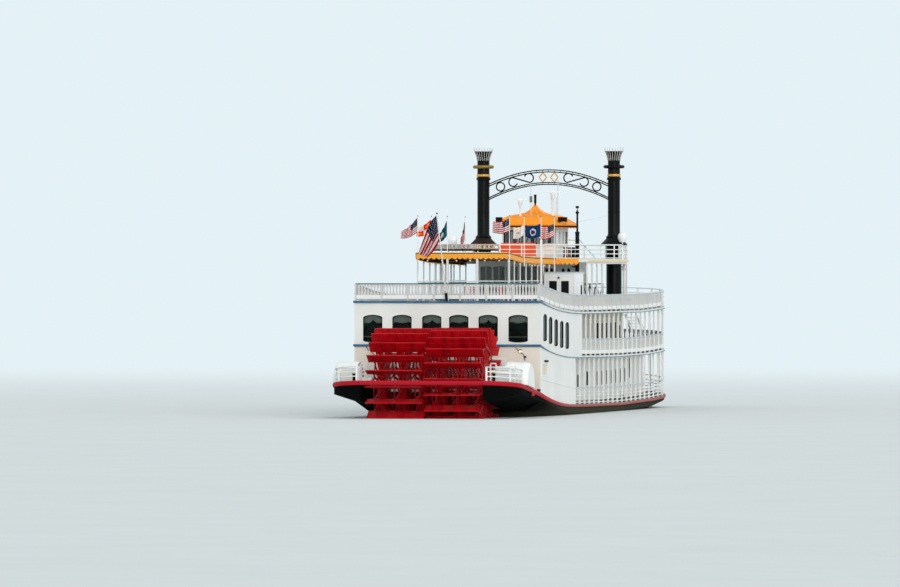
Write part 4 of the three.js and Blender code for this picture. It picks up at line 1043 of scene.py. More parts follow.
def make_railings():
    line = RAIL_Y - 0.035
    inset = HALF_BEAM - RAIL_Y + 0.035
    levels = (
        # name, level, ceiling, aft end, balusters, bars
        ("main", MAIN, SECOND, MAIN_STEP + WALL + 0.06, False, (0.12, 0.34, 0.56, 0.78)),
        ("second", SECOND, THIRD, SECOND_STEP + WALL + 0.06, True, ()),
        ("third", THIRD, None, 0.16, True, ()),
    )
    for name, level, ceiling, aft, balusters, bars in levels:
        for side, sign in SIDES.items():
            along = [(x, sign * line) for x in sheer_places(aft, BOW_START)]
            bow = [(x, sign * y) for x, y in bow_curve(inset, 20)]
            bow.append((bow[-1][0], sign * 0.03))
            replaces = [f"{name}_rail_{side}"]
            if level == THIRD:
                railing(f"third_railing_{side}", along, level, RAIL_HEIGHT, None, replaces)
                # The bow's part starts beyond the last post of the side
                bow[0] = (BOW_START + 0.12, along[-1][1])
                railing(f"third_bow_railing_{side}", bow, level, RAIL_HEIGHT, None, [], False, (0.4, 0.76))
            else:
                railing(f"{name}_railing_{side}", along + bow[1:], level, RAIL_HEIGHT, ceiling, replaces,
                        balusters, bars)
    path = [(0.035, y) for y in (-line, 0, line)]
    railing("third_railing_stern", path, THIRD, RAIL_HEIGHT, None, ["third_rail_stern"], cap=TEAL)
    for side, sign in SIDES.items():
        arc = [(x + 0.1, y - 0.1) for x, y in stern_corner()[:-1]]
        path = [(x, sign * y) for x, y in arc + [(-5.57, HALF_BEAM - 0.1)]]
        railing(f"fantail_railing_{side}", path, MAIN, FANTAIL_RAIL_HEIGHT, None, [f"fantail_rail_{side}"],
                False, (0.3, 0.6))


def make_wheel():
    """The two halves of the paddle wheel, set half a pitch apart."""
    for side, sign in SIDES.items():
        step = math.tau / BLADES
        near, far = (0.03, WHEEL_HALF_WIDTH) if sign > 0 else (-WHEEL_HALF_WIDTH, -0.03)
        hub = Matrix.Translation((WHEEL_X, 0, WHEEL_Z))
        frames = [near + 0.5, (near + far) / 2, far - 0.5]
        bm = bmesh.new()

        def blade(part):
            half = BLADE_DEPTH / 2
            for low, high in ((-half, -0.003), (0.003, half)):
                box(part, (WHEEL_RADIUS - half + low, near, -0.04), (WHEEL_RADIUS - half + high, far, 0.04))
            bmesh.ops.bevel(part, geom=part.edges[:], offset=0.012, segments=1, profile=0.5,
                            affect="EDGES", material=-1)
            for y in frames:
                for off in (-0.1, 0.1):
                    box(part, (2.55, y + off - 0.04, -0.055), (WHEEL_RADIUS - 0.06, y + off + 0.04, 0.055))
                for out in (WHEEL_RADIUS - 0.62, WHEEL_RADIUS - 0.2):
                    for off in (-0.1, 0.1):
                        rod(part, (out, y + off, -0.075), (out, y + off, 0.075), 0.028, 6)

        blade_mesh = small_mesh(blade)

        def spoke(part):
            for y in frames:
                for off, lean in ((-0.1, 0.05), (0.1, -0.05)):
                    turn = Matrix.Rotation(lean, 4, "Y")
                    made = box(part, (0.4, y + off - 0.035, -0.05), (2.7, y + off + 0.035, 0.05))
                    bmesh.ops.transform(part, matrix=turn, verts=made)

        spoke_mesh = small_mesh(spoke)
        for k in range(BLADES):
            turn = hub @ Matrix.Rotation(math.pi + math.radians(HALF_START[side]) + k * step, 4, "Y")
            stamp(bm, blade_mesh, turn)
            stamp(bm, spoke_mesh, turn)
        for y in frames:
            for radius, width in WHEEL_RINGS:
                for off in (-0.15, 0.15):
                    ring(bm, radius - width, radius + width, y + off - 0.02, y + off + 0.02)
            ring(bm, 0.21, HUB_RADIUS, y - 0.16, y + 0.16)
            ring(bm, 0.21, 0.34, y - 0.26, y + 0.26)
        finished(bm, f"paddle_half_{side}", [RED], "wheel", [f"wheel_{side}"])


def ring(bm, inner, outer, low, high, sides=44):
    """A flat ring about the wheel's axis."""
    corners = [(inner, low), (outer, low), (outer, high), (inner, high)]
    verts = [bm.verts.new((WHEEL_X + radius, y, WHEEL_Z)) for radius, y in corners]
    edges = [bm.edges.new(pair) for pair in zip(verts, verts[1:] + verts[:1])]
    bmesh.ops.spin(bm, geom=verts + edges, cent=(WHEEL_X, 0, WHEEL_Z), axis=(0, 1, 0), angle=math.tau,
                   steps=sides, use_merge=True)


def make_wheel_housings():
    """The white half drums over the wheel's bearings, with a louvred case and a lattice beside them."""
    for side, sign in SIDES.items():
        bm = bmesh.new()
        sections = ((BEARING_INNER, 1), (BEARING_INNER + 0.03, 1.02), (5.2, 1.02), (5.23, 1), (5.9, 1),
                    (6.1, 0.98), (6.22, 0.93), (BEARING_OUTER - 0.01, 0.86))
        rings = []
        for y, share in sections:
            radius = BEARING_RADIUS * share
            arc = arc_points((BEARING_X, BEARING_Z), radius, 24, math.pi)
            feet = [(x, deck_at(MAIN, x)) for x in (BEARING_X - radius, BEARING_X + radius)]
            rings.append([(x, sign * y, z) for x, z in arc + feet])
        loft(bm, rings)
        pillow = arc_points((WHEEL_X, 2.15), 0.42, 12, math.pi)
        pillow += [(WHEEL_X - 0.42, deck_at(MAIN, WHEEL_X)), (WHEEL_X + 0.42, deck_at(MAIN, WHEEL_X))]
        loft(bm, [[(x, sign * y, z) for x, z in pillow] for y in (WELL_HALF, BEARING_INNER + 0.1)])
        finished(bm, f"bearing_drum_{side}", [BRIGHT_WHITE],
                 replaces=[f"bearing_cover_{side}"])
        bm = bmesh.new()
        floor = deck_at(MAIN, -5.8)
        case = sorted((sign * 4.42, sign * 5.62))
        box(bm, (-5.95, case[0], floor), (-5.5, case[1], 3.3))
        for k in range(9):
            z = floor + 0.12 + k * 0.115
            plate(bm, [(-5.96, case[0] + 0.06, z), (-6.02, case[0] + 0.06, z - 0.06),
                       (-6.02, case[1] - 0.06, z - 0.06), (-5.96, case[1] - 0.06, z)], (0, 0, 0.022))
        lattice = (sign * 4.0, sign * 4.36)
        for y in lattice:
            box(bm, (-5.9, y - 0.04, floor), (-5.82, y + 0.04, 3.42))
        for k in range(6):
            z = floor + 0.1 + k * 0.235
            box(bm, (-5.9, lattice[0], z), (-5.82, lattice[1], z + 0.06))
        x, y = -7.35, sign * 4.5
        for low, high, radius in ((0, 0.62, 0.1), (0.62, 0.68, 0.14)):
            rod(bm, (x, y, floor + low), (x, y, floor + high), radius, 14, material=1)
        finished(bm, f"bearing_case_{side}", [BRIGHT_WHITE, DARK])


def big_window(bm, at, centre, low, high, glass):
    """A cabin window in its opening: frame, rubber, glass and the bar across the room behind it."""
    half = WINDOW_HALF
    shape = lambda grow, corner: window_outline(centre, half + grow, low - grow, high + grow, 0.13, 0.07,
                                                corner)
    frame_ring(bm, at, shape(0.07, 0.06), shape(0.004, 0.05), -0.01, 0.02)
    frame_ring(bm, at, shape(0.004, 0.05), shape(-0.045, 0.1), -0.06, 0.008, 1)
    pane(bm, at, shape(-0.04, 0.1), -0.045, -0.035, glass)
    wall_box(bm, at, (centre - half, centre + half), (low + 0.34, low + 0.37), -0.2, -0.17, 3)


def lay_uv(faces, uv):
    """Maps a flat grid, one unit wide and high about the origin, to the whole cloth."""
    for face in faces:
        for loop in face.loops:
            loop[uv].uv = (loop.vert.co.x + 0.5, loop.vert.co.y + 0.5)


def curtain(bm, uv, at, centre, high, pulls):
    """A gathered curtain head behind one window, lower where the cloth is pulled up less."""
    columns, rows, half = 28, 5, 0.6
    made = bmesh.ops.create_grid(bm, x_segments=columns, y_segments=rows, size=0.5)["verts"]
    lay_uv({face for vert in made for face in vert.link_faces}, uv)
    for vert in made:
        s, t = vert.co.x * 2, 0.5 - vert.co.y
        drop = 0.3 + 0.22 * abs(math.sin(pulls * math.pi * (s + 1) / 2)) + 0.25 * abs(s) ** 5
        depth = -0.135 + 0.022 * math.sin(s * 30) * (0.4 + t)
        vert.co = at(centre + s * half, high - 0.02 - drop * t, depth)


def make_windows():
    bm = bmesh.new()
    cloth = bmesh.new()
    uv = cloth.loops.layers.uv.new("cloth")
    places = [(stern_wall, y, STERN_SILL, STERN_HEAD) for y in STERN_WINDOWS]
    for sign in SIDES.values():
        for x in SIDE_WINDOWS:
            low = deck_at(SECOND, x) + 0.46
            places.append((long_wall(sign * WALL_Y), x, low, low + 1.74))
    # Dark boards inside the rooms behind the stern and side windows: painted shade of the unlit rooms.
    wall_box(bm, stern_wall, (-5.5, 5.6), (4.62, 6.62), -0.34, -0.3, 1)
    for sign in SIDES.values():
        wall_box(bm, long_wall(sign * WALL_Y), (0.6, 12.4), (4.15, 6.55), -0.34, -0.3, 1)
    for number, (at, centre, low, high) in enumerate(places):
        big_window(bm, at, centre, low, high, 2 if number < len(STERN_WINDOWS) else 4)
        curtain(cloth, uv, at, centre, high, 1 + number % 2)
    finished(bm, "second_deck_windows", [WHITE, DARK, GLASS, CURTAIN, SIDE_GLASS])
    drapes = finished(cloth, "window_curtains", [CURTAIN], smooth=180, recalc=False)
    thicken(drapes, 0.002)


def thicken(piece, thickness):
    modifier = piece.modifiers.new("thickness", "SOLIDIFY")
    modifier.thickness = thickness
    modifier.offset = 0


def make_promenade_walls():
    """Doors and windows of the deckhouses on the main and second decks."""
    bm = bmesh.new()
    # The panes of these windows and doors take the near-black paint: painted shade of the unlit rooms behind.
    for sign in SIDES.values():
        at = long_wall(sign * HOUSE_Y)
        for x in (23.7, 27.2, 28.9, 30.6, 32.3, 34, 35.7, 37.3):
            low = deck_at(MAIN, x) + 1.16
            set_window(bm, at, x, 0.36 if x == 23.7 else 0.2, low, low + 0.92, frame=0.05)
        door(bm, at, 20.4, deck_at(MAIN, 20.4) + 0.05, 2.05)
        low = deck_at(MAIN, 39)
        wall_box(bm, at, (38.85, 39.85), (low + 0.05, low + 2.85), -0.01, 0.02)
        pane(bm, at, window_outline(39.35, 0.42, low + 1.4, low + 2.75, 0.05), 0, 0.03, 1)
        for x, half in ((25.2, 0.2), (27.4, 0.42), (29, 0.28), (30.6, 0.28), (32.2, 0.28), (33.8, 0.28)):
            set_window(bm, at, x, half, deck_at(SECOND, x) + 1.1, deck_at(SECOND, x) + 2.2, 0.05, 0.05)
        for x in (17, 35.4):
            door(bm, at, x, floor_at(SECOND, x), 2.1)
    for x, level in ((MAIN_STEP + WALL, MAIN), (SECOND_STEP + WALL, SECOND)):
        for sign in SIDES.values():
            door(bm, cross_wall(x, 1), sign * 5.3, floor_at(level, x + 0.2), 2.05, 0.38)
    for x, level in ((MAIN_FRONT + WALL, MAIN), (SECOND_FRONT + WALL, SECOND)):
        at = cross_wall(x, 1)
        for u in (-3.6, -2.2, 2.2, 3.6):
            low = floor_at(level, x) + 1.05
            set_window(bm, at, u, 0.4, low, low + 1, 0.08, bars=1)
        for u in (-0.48, 0.48):
            door(bm, at, u, floor_at(level, x), 2.1, 0.42)
    # A near-black strip along the foot of each house wall: painted shadow at the wall's foot.
    for sign in SIDES.values():
        for level, aft, fore in ((MAIN, MAIN_STEP, MAIN_FRONT), (SECOND, SECOND_STEP, SECOND_FRONT)):
            line = [(x, sign * (HOUSE_Y + 0.01), floor_at(level, x) + 0.08)
                    for x in sheer_places(aft + 0.2, fore)]
            strip(bm, line, [(-0.02, -0.07), (0.02, -0.07), (0.02, 0.09), (-0.02, 0.09)], 3)
    finished(bm, "promenade_joinery", [BRIGHT_WHITE, DARK, BLUE, SHADOW_GREY])


def door(bm, at, centre, low, height, half=0.4):
    """A framed door with a glazed upper panel and a kick board."""
    outer = window_outline(centre, half + 0.08, low, low + height + 0.08)
    inner = window_outline(centre, half, low, low + height)
    frame_ring(bm, at, outer, inner, -0.01, 0.05)
    wall_box(bm, at, (centre - half, centre + half), (low, low + height), -0.01, 0.02)
    glazing = window_outline(centre, half * 0.66, low + height * 0.5, low + height - 0.2, 0.05, 0, 0.05)
    pane(bm, at, glazing, 0.01, 0.026, 1)
    for z in (0.16, 0.3):
        wall_box(bm, at, (centre - half * 0.7, centre + half * 0.7), (low + z, low + z + 0.05), 0.01, 0.035)
    wall_box(bm, at, (centre + half * 0.72, centre + half * 0.82), (low + 1, low + 1.12), 0.01, 0.07, 2)


def make_stern_details():
    """What the main deck's stern wall carries behind the wheel, and the fittings beside it."""
    bm = bmesh.new()
    at = stern_wall
    glazing = rectangle(1.53, 3.15, 2.27, 3.55)
    frame_ring(bm, at, rectangle(1.45, 3.08, 2.35, 3.62), glazing, -0.01, 0.05)
    pane(bm, at, glazing, -0.01, 0.01, 1)
    wall_box(bm, at, (1.88, 1.92), (3.15, 3.55), 0, 0.04)
    for y in (-4.78, 4.95):
        wall_box(bm, at, (y - 0.06, y + 0.06), (4.25, 4.33), -0.01, 0.16, 2)
        ball(bm, (-0.13, y, 4.19), 0.085, 3, 14, 8)
        cable = ((-0.02, 0.3, 4.45), (-0.05, 0.2, 4.3), (-0.04, -0.2, 4.0), (-0.03, -0.3, 3.6))
        tube(bm, [(x, y + off, z) for x, off, z in cable], 0.02, 2)
    ball(bm, (-0.06, -5.1, 3.85), 0.07, 2, 12, 8)
    for low, high in ((-0.65, 0.2), (-2.25, -1.35)):
        vent = rectangle(low, 2.65, high, 3.1)
        frame_ring(bm, at, rectangle(low - 0.05, 2.6, high + 0.05, 3.15), vent, -0.01, 0.03)
        # The panel behind the slats takes the near-black paint: painted shade inside the vent.
        pane(bm, at, vent, -0.01, 0.008, 2)
        for z in (2.72, 2.85, 2.98):
            wall_box(bm, at, (low, high), (z, z + 0.035), 0, 0.05)
    for y in (-3.3, 3.6):
        door(bm, at, y, 1.62, 2.05, 0.42)
    for sign in SIDES.values():
        side = long_wall(sign * WALL_Y)
        louvre = rectangle(0.55, 2.7, 2.2, 3.38)
        frame_ring(bm, side, rectangle(0.45, 2.6, 2.3, 3.5), louvre, -0.01, 0.05)
        pane(bm, side, louvre, -0.01, 0.008, 4)
        for k in range(8):
            z = 2.72 + 0.083 * k
            wall_box(bm, side, (0.55, 2.2), (z, z + 0.03), 0, 0.035)
        wall_box(bm, side, (1.5, 2.3), (3.5, 3.62), -0.01, 0.12, 2)
        moulding = ((0.2, 2.42), (4, 2.2), (8, 1.95), (12, 1.72))
        strip(bm, [(x, sign * (WALL_Y + 0.001), z) for x, z in moulding],
              [(0, -0.03), (sign * 0.03, -0.015), (sign * 0.03, 0.015), (0, 0.03)])
        box(bm, (-0.5, sign * 5.94, 1.64), (-0.1, sign * 6.1, 1.8), 2)
    finished(bm, "stern_wall_fittings", [BRIGHT_WHITE, GLASS, DARK, LAMP, CREAM])


def canopy_at(x):
    """The height of the canopy's top."""
    return between(CANOPY_TOP, 1, min(x, CANOPY_FORE))


def make_awning():
    """The golden canopy: a shallow roof with standing seams and a scalloped valance on every free edge."""
    bm = bmesh.new()
    half, aft, fore = CANOPY_HALF, CANOPY_AFT, CANOPY_FORE
    rings = []
    for x in (aft, 7, 9, 11.5, 14, 17.5, fore):
        z = canopy_at(x)
        rings.append([(x, half, z), (x, -half, z), (x, -half, z - 0.05), (x, half, z - 0.05)])
    loft(bm, rings)
    for k in range(1, 10):
        x = aft + (fore - aft) * k / 10
        box(bm, (x - 0.03, -half + 0.02, canopy_at(x) - 0.02), (x + 0.03, half - 0.02, canopy_at(x) + 0.045))
    drop = VALANCE - 0.08
    scallops(bm, [(aft, y, canopy_at(aft)) for y in (-half, half)], drop, (0.035, 0, 0))
    for sign in SIDES.values():
        for (x0, z0), (x1, z1) in zip(CANOPY_TOP, CANOPY_TOP[1:]):
            scallops(bm, [(x0, sign * half, z0), (x1, sign * half, z1)], drop, (0, -sign * 0.035, 0))
        wing = [(fore - 0.07, sign * y, canopy_at(fore)) for y in (half - 0.02, CANOPY_WING)]
        scallops(bm, wing, drop, (0.06, 0, 0))
    finished(bm, "awning", [YELLOW], replaces=["canopy"], smooth=None)
    bm = bmesh.new()
    box(bm, (aft - 0.01, -half, canopy_at(aft)), (aft + 0.06, half, canopy_at(aft) + 0.05))
    for sign in SIDES.values():
        box(bm, (fore + 0.01, sign * CANOPY_WING, BRIDGE_UNDERSIDE),
            (fore + 0.05, sign * (BRIDGE_HALF + 0.02), BRIDGE_TOP + 0.03))
    finished(bm, "awning_moulding", [CREAM], smooth=None)


def scallops(bm, ends, drop, push, pitch=0.335, sag=0.11, arc=6):
    """A valance with a scalloped lower edge, between two points of its upper edge."""
    start, end = Vector(ends[0]), Vector(ends[1])
    count = max(1, round((end - start).length / pitch))
    lower = []
    for k in range(count):
        for j in range(arc):
            share = (k + j / arc) / count
            hang = drop + sag * math.sin(math.pi * j / arc)
            lower.append(start.lerp(end, share) - Vector((0, 0, hang)))
    lower.append(end - Vector((0, 0, drop)))
    plate(bm, [start, end] + lower[::-1], push)


def make_canopy_posts():
    """Turned posts under the canopy with their beam and rail, and the flagpoles that rise from it."""
    aft, fore = CANOPY_AFT, CANOPY_FORE
    beam_at = lambda x: canopy_at(x) - 0.21
    for side, sign in SIDES.items():
        y = sign * FLAGPOLE_Y
        bm = bmesh.new()
        bends = [aft + 0.06] + [x for x, _ in CANOPY_TOP[1:-1]] + [fore - 0.02]
        loft(bm, [[(x, y - 0.05, beam_at(x)), (x, y + 0.05, beam_at(x)), (x, y + 0.05, beam_at(x) + 0.14),
                   (x, y - 0.05, beam_at(x) + 0.14)] for x in bends])
        count = round((fore - aft) / CANOPY_BAY)
        posts = [aft + 0.12 + (fore - aft - 0.22) * k / count for k in range(count + 1)]
        for x in posts:
            turned_post(bm, (x, y), floor_at(THIRD, x), beam_at(x) + 0.02)
        for z, radius, paint in ((8.66, 0.035, 0), (8.54, 0.025, 1)):
            rod(bm, (posts[0], y, z), (posts[-1], y, z), radius, 8, material=paint)
            rod(bm, (posts[0], y, z), (posts[0], 0.01 * sign, z), radius, 8, material=paint)
        inner = y - sign * 0.1
        # The girders take the near-black paint, partly as painted shade under the canopy.
        truss(bm, (5.35, inner, beam_at(5.35) + 0.1), (20.6, inner, beam_at(20.6) + 0.1))
        truss(bm, (5.3, inner, beam_at(5.3) + 0.1), (5.3, 0.02 * sign, beam_at(5.3) + 0.1))
        lamps = [(5.26, sign * (0.45 + 0.95 * k), beam_at(5.3)) for k in range(3)]
        lamps += [(x, inner, beam_at(x)) for x in (6 + 1.7 * k for k in range(9))]
        for x, across, beam in lamps:
            ball(bm, (x, across, beam - 0.26), 0.05, 3, 10, 6)
        for number, place in enumerate(FLAGPOLES[side]):
            x, outer = place + sign * POLE_ALONG, y + sign * POLE_OUT
            low, thick_top = POLE_FEET[side][number]
            if thick_top:
                rod(bm, (x, outer, low), (x, outer, thick_top), 0.085, 12)
            rod(bm, (x, outer, low), (x, outer, FLAGPOLE_TOP - 0.06), 0.035, 10, 0.02)
            turned(bm, [(0, FLAGPOLE_TOP - 0.08), (0.025, FLAGPOLE_TOP - 0.08), (0.03, FLAGPOLE_TOP - 0.04),
                        (0.015, FLAGPOLE_TOP), (0, FLAGPOLE_TOP)], (x, outer), 10, 2)
            for z in (beam_at(x) + 0.05, beam_at(x) - 0.06):
                box(bm, (x - 0.03, outer, z - 0.02), (x + 0.03, y, z + 0.02))
        finished(bm, f"canopy_posts_{side}", [BRIGHT_WHITE, TEAL, DARK, LAMP],
                 replaces=[f"canopy_frame_{side}"])


def truss(bm, start, end, depth=0.34, material=2):
    """An openwork girder that hangs below a line: a board, a lower chord and crossed bars."""
    start, end, down = Vector(start), Vector(end), Vector((0, 0, -depth))
    count = max(1, round((end - start).length / 0.36))
    rod(bm, start + down * 0.15, end + down * 0.15, 0.06, 6, material=material)
    rod(bm, start + down, end + down, 0.025, 6, material=material)
    for k in range(count):
        a, b = (start.lerp(end, (k + step) / count) for step in (0, 1))
        rod(bm, a + down * 0.2, b + down, 0.018, 5, material=material)
        rod(bm, b + down * 0.2, a + down, 0.018, 5, material=material)


def turned_post(bm, centre, low, top):
    """A turned canopy post with its cap."""
    height = top - low
    profile = [(0, low), (0.075, low), (0.075, low + 0.14), (0.05, low + 0.2), (0.045, low + height * 0.4),
               (0.04, top - 0.4), (0.06, top - 0.36), (0.06, top - 0.31), (0.042, top - 0.27),
               (0.042, top - 0.08), (0.08, top - 0.03), (0.08, top), (0, top)]
    turned(bm, profile, centre, 10)


def make_benches():
    """Slatted benches under the canopy."""
    bm = bmesh.new()
    for k in range(8):
        x = 6.6 + 1.7 * k
        for low, high in ((0.5, 2.4), (-2.4, -0.5)):
            floor = floor_at(THIRD, x)
            paint = 1 if k in (1, 4) else 2
            for j in range(4):
                box(bm, (x + 0.11 * j, low, floor + 0.42), (x + 0.11 * j + 0.09, high, floor + 0.46), paint)
            for j in range(3):
                box(bm, (x + 0.46 + 0.02 * j, low, floor + 0.52 + 0.13 * j),
                    (x + 0.49 + 0.02 * j, high, floor + 0.63 + 0.13 * j), paint)
            for y in (low + 0.12, (low + high) / 2, high - 0.12):
                box(bm, (x + 0.02, y - 0.025, floor), (x + 0.07, y + 0.025, floor + 0.42))
                box(bm, (x + 0.42, y - 0.025, floor), (x + 0.46, y + 0.025, floor + 0.92))
                box(bm, (x, y - 0.02, floor + 0.37), (x + 0.46, y + 0.02, floor + 0.42))
    for y in (-1.36, -1.09, -0.82, -3.26, -2.98):
        deck_chair(bm, 1.9, y)
    finished(bm, "deck_benches", [ENAMEL, SEAT_RED, TEAL])


def deck_chair(bm, x, y):
    """A red high-backed chair that faces aft."""
    floor = floor_at(THIRD, x)
    half = 0.11
    box(bm, (x - 0.4, y - half, floor + 0.42), (x, y + half, floor + 0.46), 1)
    for k in range(4):
        back, low = x + 0.02 * k, floor + 0.5 + 0.15 * k
        box(bm, (back, y - half, low), (back + 0.03, y + half, low + 0.13), 1)
    for leg_x, high in ((x - 0.38, 0.42), (x - 0.02, 1.08)):
        for side in (-half, half - 0.03):
            box(bm, (leg_x, y + side, floor), (leg_x + 0.03, y + side + 0.03, floor + high))


def make_bridge():
    """Planks, rails, brackets, screen, lockers and the blank panel of the bridge deck."""
    bm = bmesh.new()
    box(bm, (BRIDGE_AFT + 0.05, -BRIDGE_HALF + 0.05, BRIDGE_TOP), (BRIDGE_FORE - 0.05, BRIDGE_HALF - 0.05,
                                                                  BRIDGE_TOP + 0.01))
    finished(bm, "bridge_planks", [DECK], smooth=None)
    bm = bmesh.new()
    inset = 0.06
    x0, x1, y1 = BRIDGE_AFT + inset, BRIDGE_FORE - inset, BRIDGE_HALF - inset
    runs = [((x0, -y1), (x1, -y1)), ((x1, -y1), (x1, y1)), ((x1, y1), (x0, y1)), ((x0, y1), (x0, -y1))]
    for start, end in runs:
        for z in (0.07, 0.35, 0.63, 0.94):
            radius = 0.03 if z < 0.9 else 0.042
            rod(bm, (*start, BRIDGE_TOP + z), (*end, BRIDGE_TOP + z), radius, 8)
        pitch = 1.42 if start[0] == end[0] else 4.7
        for place, _ in spaced([(*start, 0), (*end, 0)], pitch)[:-1]:
            rod(bm, (place.x, place.y, BRIDGE_TOP), (place.x, place.y, BRIDGE_TOP + 0.98), 0.04, 8)
    for sign in SIDES.values():
        for k in (0, 1, 2, 3, 8):
            x = BRIDGE_AFT + 0.15 + (BRIDGE_FORE - BRIDGE_AFT - 0.3) * k / 8
            for turn in (1, -1):
                bracket(bm, Vector((x, sign * BRIDGE_POST_Y, 0)), Vector((turn, 0, 0)), BRIDGE_UNDERSIDE,
                        0.45, 6)
        scroll(bm, (BRIDGE_FORE - 0.15, sign * 5.05, BRIDGE_UNDERSIDE), -sign)
        rod(bm, (BRIDGE_FORE - 0.12, sign * 4.92, floor_at(THIRD, BRIDGE_FORE)),
            (BRIDGE_FORE - 0.12, sign * 4.92, BRIDGE_UNDERSIDE), 0.085, 14)
        box(bm, (BRIDGE_AFT, sign * BRIDGE_HALF, BRIDGE_UNDERSIDE),
            (BRIDGE_FORE, sign * (BRIDGE_HALF + 0.03), BRIDGE_TOP - 0.06), 1)
    box(bm, (BRIDGE_FORE, -BRIDGE_HALF, BRIDGE_UNDERSIDE),
        (BRIDGE_FORE + 0.03, BRIDGE_HALF, BRIDGE_TOP - 0.06), 1)
    # Weather screen of upright slats, with a dark foot rail, along the port quarter
    screen = [((x0 - 0.05, 0.8), (x0 - 0.05, y1)), ((x0, y1 - 0.05), (x1, y1 - 0.05))]
    for start, end in screen:
        for z, radius, paint in ((0.6, 0.055, 2), (0.7, 0.03, 3), (0.96, 0.03, 3)):
            rod(bm, (*start, BRIDGE_TOP + z), (*end, BRIDGE_TOP + z), radius, 8, material=paint)
        for place, _ in spaced([(*start, 0), (*end, 0)], 0.3):
            post(bm, place, 0.06, BRIDGE_TOP + 0.7, BRIDGE_TOP + 0.96, 3)
    finished(bm, "bridge_railing", [BRIGHT_WHITE, CREAM, DARK, SCREEN],
             replaces=["bridge_rail"])
    bm = bmesh.new()
    box(bm, (BRIDGE_AFT + 0.16, -2.95, 10.5), (BRIDGE_AFT + 0.2, -2.2, 11.1))
    box(bm, (BRIDGE_FORE - 0.24, -5.14, BRIDGE_TOP + 0.01), (BRIDGE_FORE - 0.2, -4.67, 11.03))
    for y in (-3.55, -3.83, -4.1):
        drum = [(0, 10.2), (0.13, 10.2), (0.13, 10.26), (0.115, 10.3), (0.115, 10.78), (0.13, 10.82),
                (0.1, 10.86), (0, 10.86)]
        turned(bm, drum, (BRIDGE_AFT + 0.6, y), 16, 2 if y == -3.83 else 1)
    box(bm, (BRIDGE_AFT + 0.45, -4.24, BRIDGE_TOP + 0.01), (BRIDGE_AFT + 0.75, -3.41, 10.2), 1)
    finished(bm, "bridge_lockers", [ENAMEL, DARK, RUST])
    bm = bmesh.new()
    low, high = 10.3, 11.14
    box(bm, (BRIDGE_AFT + 0.2, -1.66, low), (BRIDGE_AFT + 0.24, 0.7, high))
    bmesh.ops.bevel(bm, geom=bm.edges[:], offset=0.01, segments=2, profile=0.5, affect="EDGES", material=-1)
    for y in (-1.5, -0.5, 0.5):
        box(bm, (BRIDGE_AFT + 0.24, y - 0.03, BRIDGE_TOP + 0.005),
            (BRIDGE_AFT + 0.3, y + 0.03, high - 0.02), 1)
    finished(bm, "orange_panel", [ORANGE, ENAMEL])


def scroll(bm, corner, across):
    """A pierced scroll bracket beside a corner post."""
    x, y, z = corner
    for centre, radius in (((0.2, -0.2), 0.13), ((0.46, -0.14), 0.09), ((0.14, -0.48), 0.09)):
        tube(bm, [(x, y + across * u, z + v) for u, v in arc_points(centre, radius, 14)[:-1]], 0.035, 3, True)
    tube(bm, [(x, y + across * 0.75 * math.sin(a), z - 0.75 * (1 - math.cos(a)) - 0.02)
              for a in (math.pi / 2 * k / 8 for k in range(9))], 0.04, 3)


def make_texas_house():
    """Windows of the house on the third deck, the stair house's joinery and the folded gangway."""
    bm = bmesh.new()
    aft = cross_wall(TEXAS_AFT, -1)
    for y in (2.86, 1.98, 1.1, 0.22, -0.66):
        set_window(bm, aft, y, 0.38, 7.5, 9.6, 0.03, 0.05, bars=1, pane_paint=1)
    # Small panes in the near-black paint: painted shade of the unlit room.
    for y in (-1.24, -1.58, -2.36, -2.73):
        pane(bm, aft, window_outline(y, 0.1, 9.2, 9.47, 0.08), -0.01, 0.012, 2)
    for sign in SIDES.values():
        at = long_wall(sign * TEXAS_HALF)
        for x in (27.8, 28.9, 30.0):
            set_window(bm, at, x, 0.36, 7.75, 9.1, 0.06, 0.06, bars=1, pane_paint=1)
    fore = cross_wall(TEXAS_FORE, 1)
    for y in (-2.6, -1.5, 1.5, 2.6):
        set_window(bm, fore, y, 0.36, 7.75, 9.1, 0.06, 0.06, bars=1, pane_paint=1)
    door(bm, fore, 0, floor_at(THIRD, TEXAS_FORE), 2.05, 0.42)
    finished(bm, "texas_windows", [BRIGHT_WHITE, GREEN_GLASS, DARK])
    bm = bmesh.new()
    aft = cross_wall(STAIR_AFT, -1)
    # The stair house's window and door panes take the near-black paint: painted shade of the room behind.
    for y in (-3.71, -4.51):
        set_window(bm, aft, y, 0.26, 7.7, 8.65, 0, 0.08, bars=0, pane_paint=1)
    box(bm, (STAIR_AFT - 0.09, -4.14, 8.8), (STAIR_AFT, -4.04, 8.92), 2)
    box(bm, (STAIR_AFT - 0.08, -STAIR_OUTER - 0.08, STAIR_TOP),
        (STAIR_FORE + 0.02, -STAIR_INNER, STAIR_TOP + 0.04), 3)
    side = long_wall(-STAIR_OUTER)
    door(bm, side, STAIR_FORE - 0.8, floor_at(THIRD, STAIR_FORE), 1.95)
    for x in (STAIR_AFT + 0.05, STAIR_FORE - 0.05):
        wall_box(bm, side, (x - 0.05, x + 0.05), (floor_at(THIRD, x), STAIR_TOP), -0.01, 0.02)
    finished(bm, "stair_house_joinery", [BRIGHT_WHITE, DARK, BROWN, RAIL_CAP])
    bm = bmesh.new()
    y, low, high, x0, x1 = -4.98, 6.75, 8.44, 20.4, 27.4
    for z in (low, (low + high) / 2, high):
        rod(bm, (x0, y, z), (x1, y, z), 0.035, 8)
    for k in range(4):
        x = x0 + (x1 - x0) * k / 3
        rod(bm, (x, y, low - 0.15), (x, y, high), 0.035, 8)
    for k in range(3):
        a, b = (x0 + (x1 - x0) * end / 3 for end in (k, k + 1))
        rod(bm, (a, y, low), (b, y, high), 0.025, 8)
        rod(bm, (a, y, high), (b, y, low), 0.025, 8)
    finished(bm, "folded_gangway", [DARK])


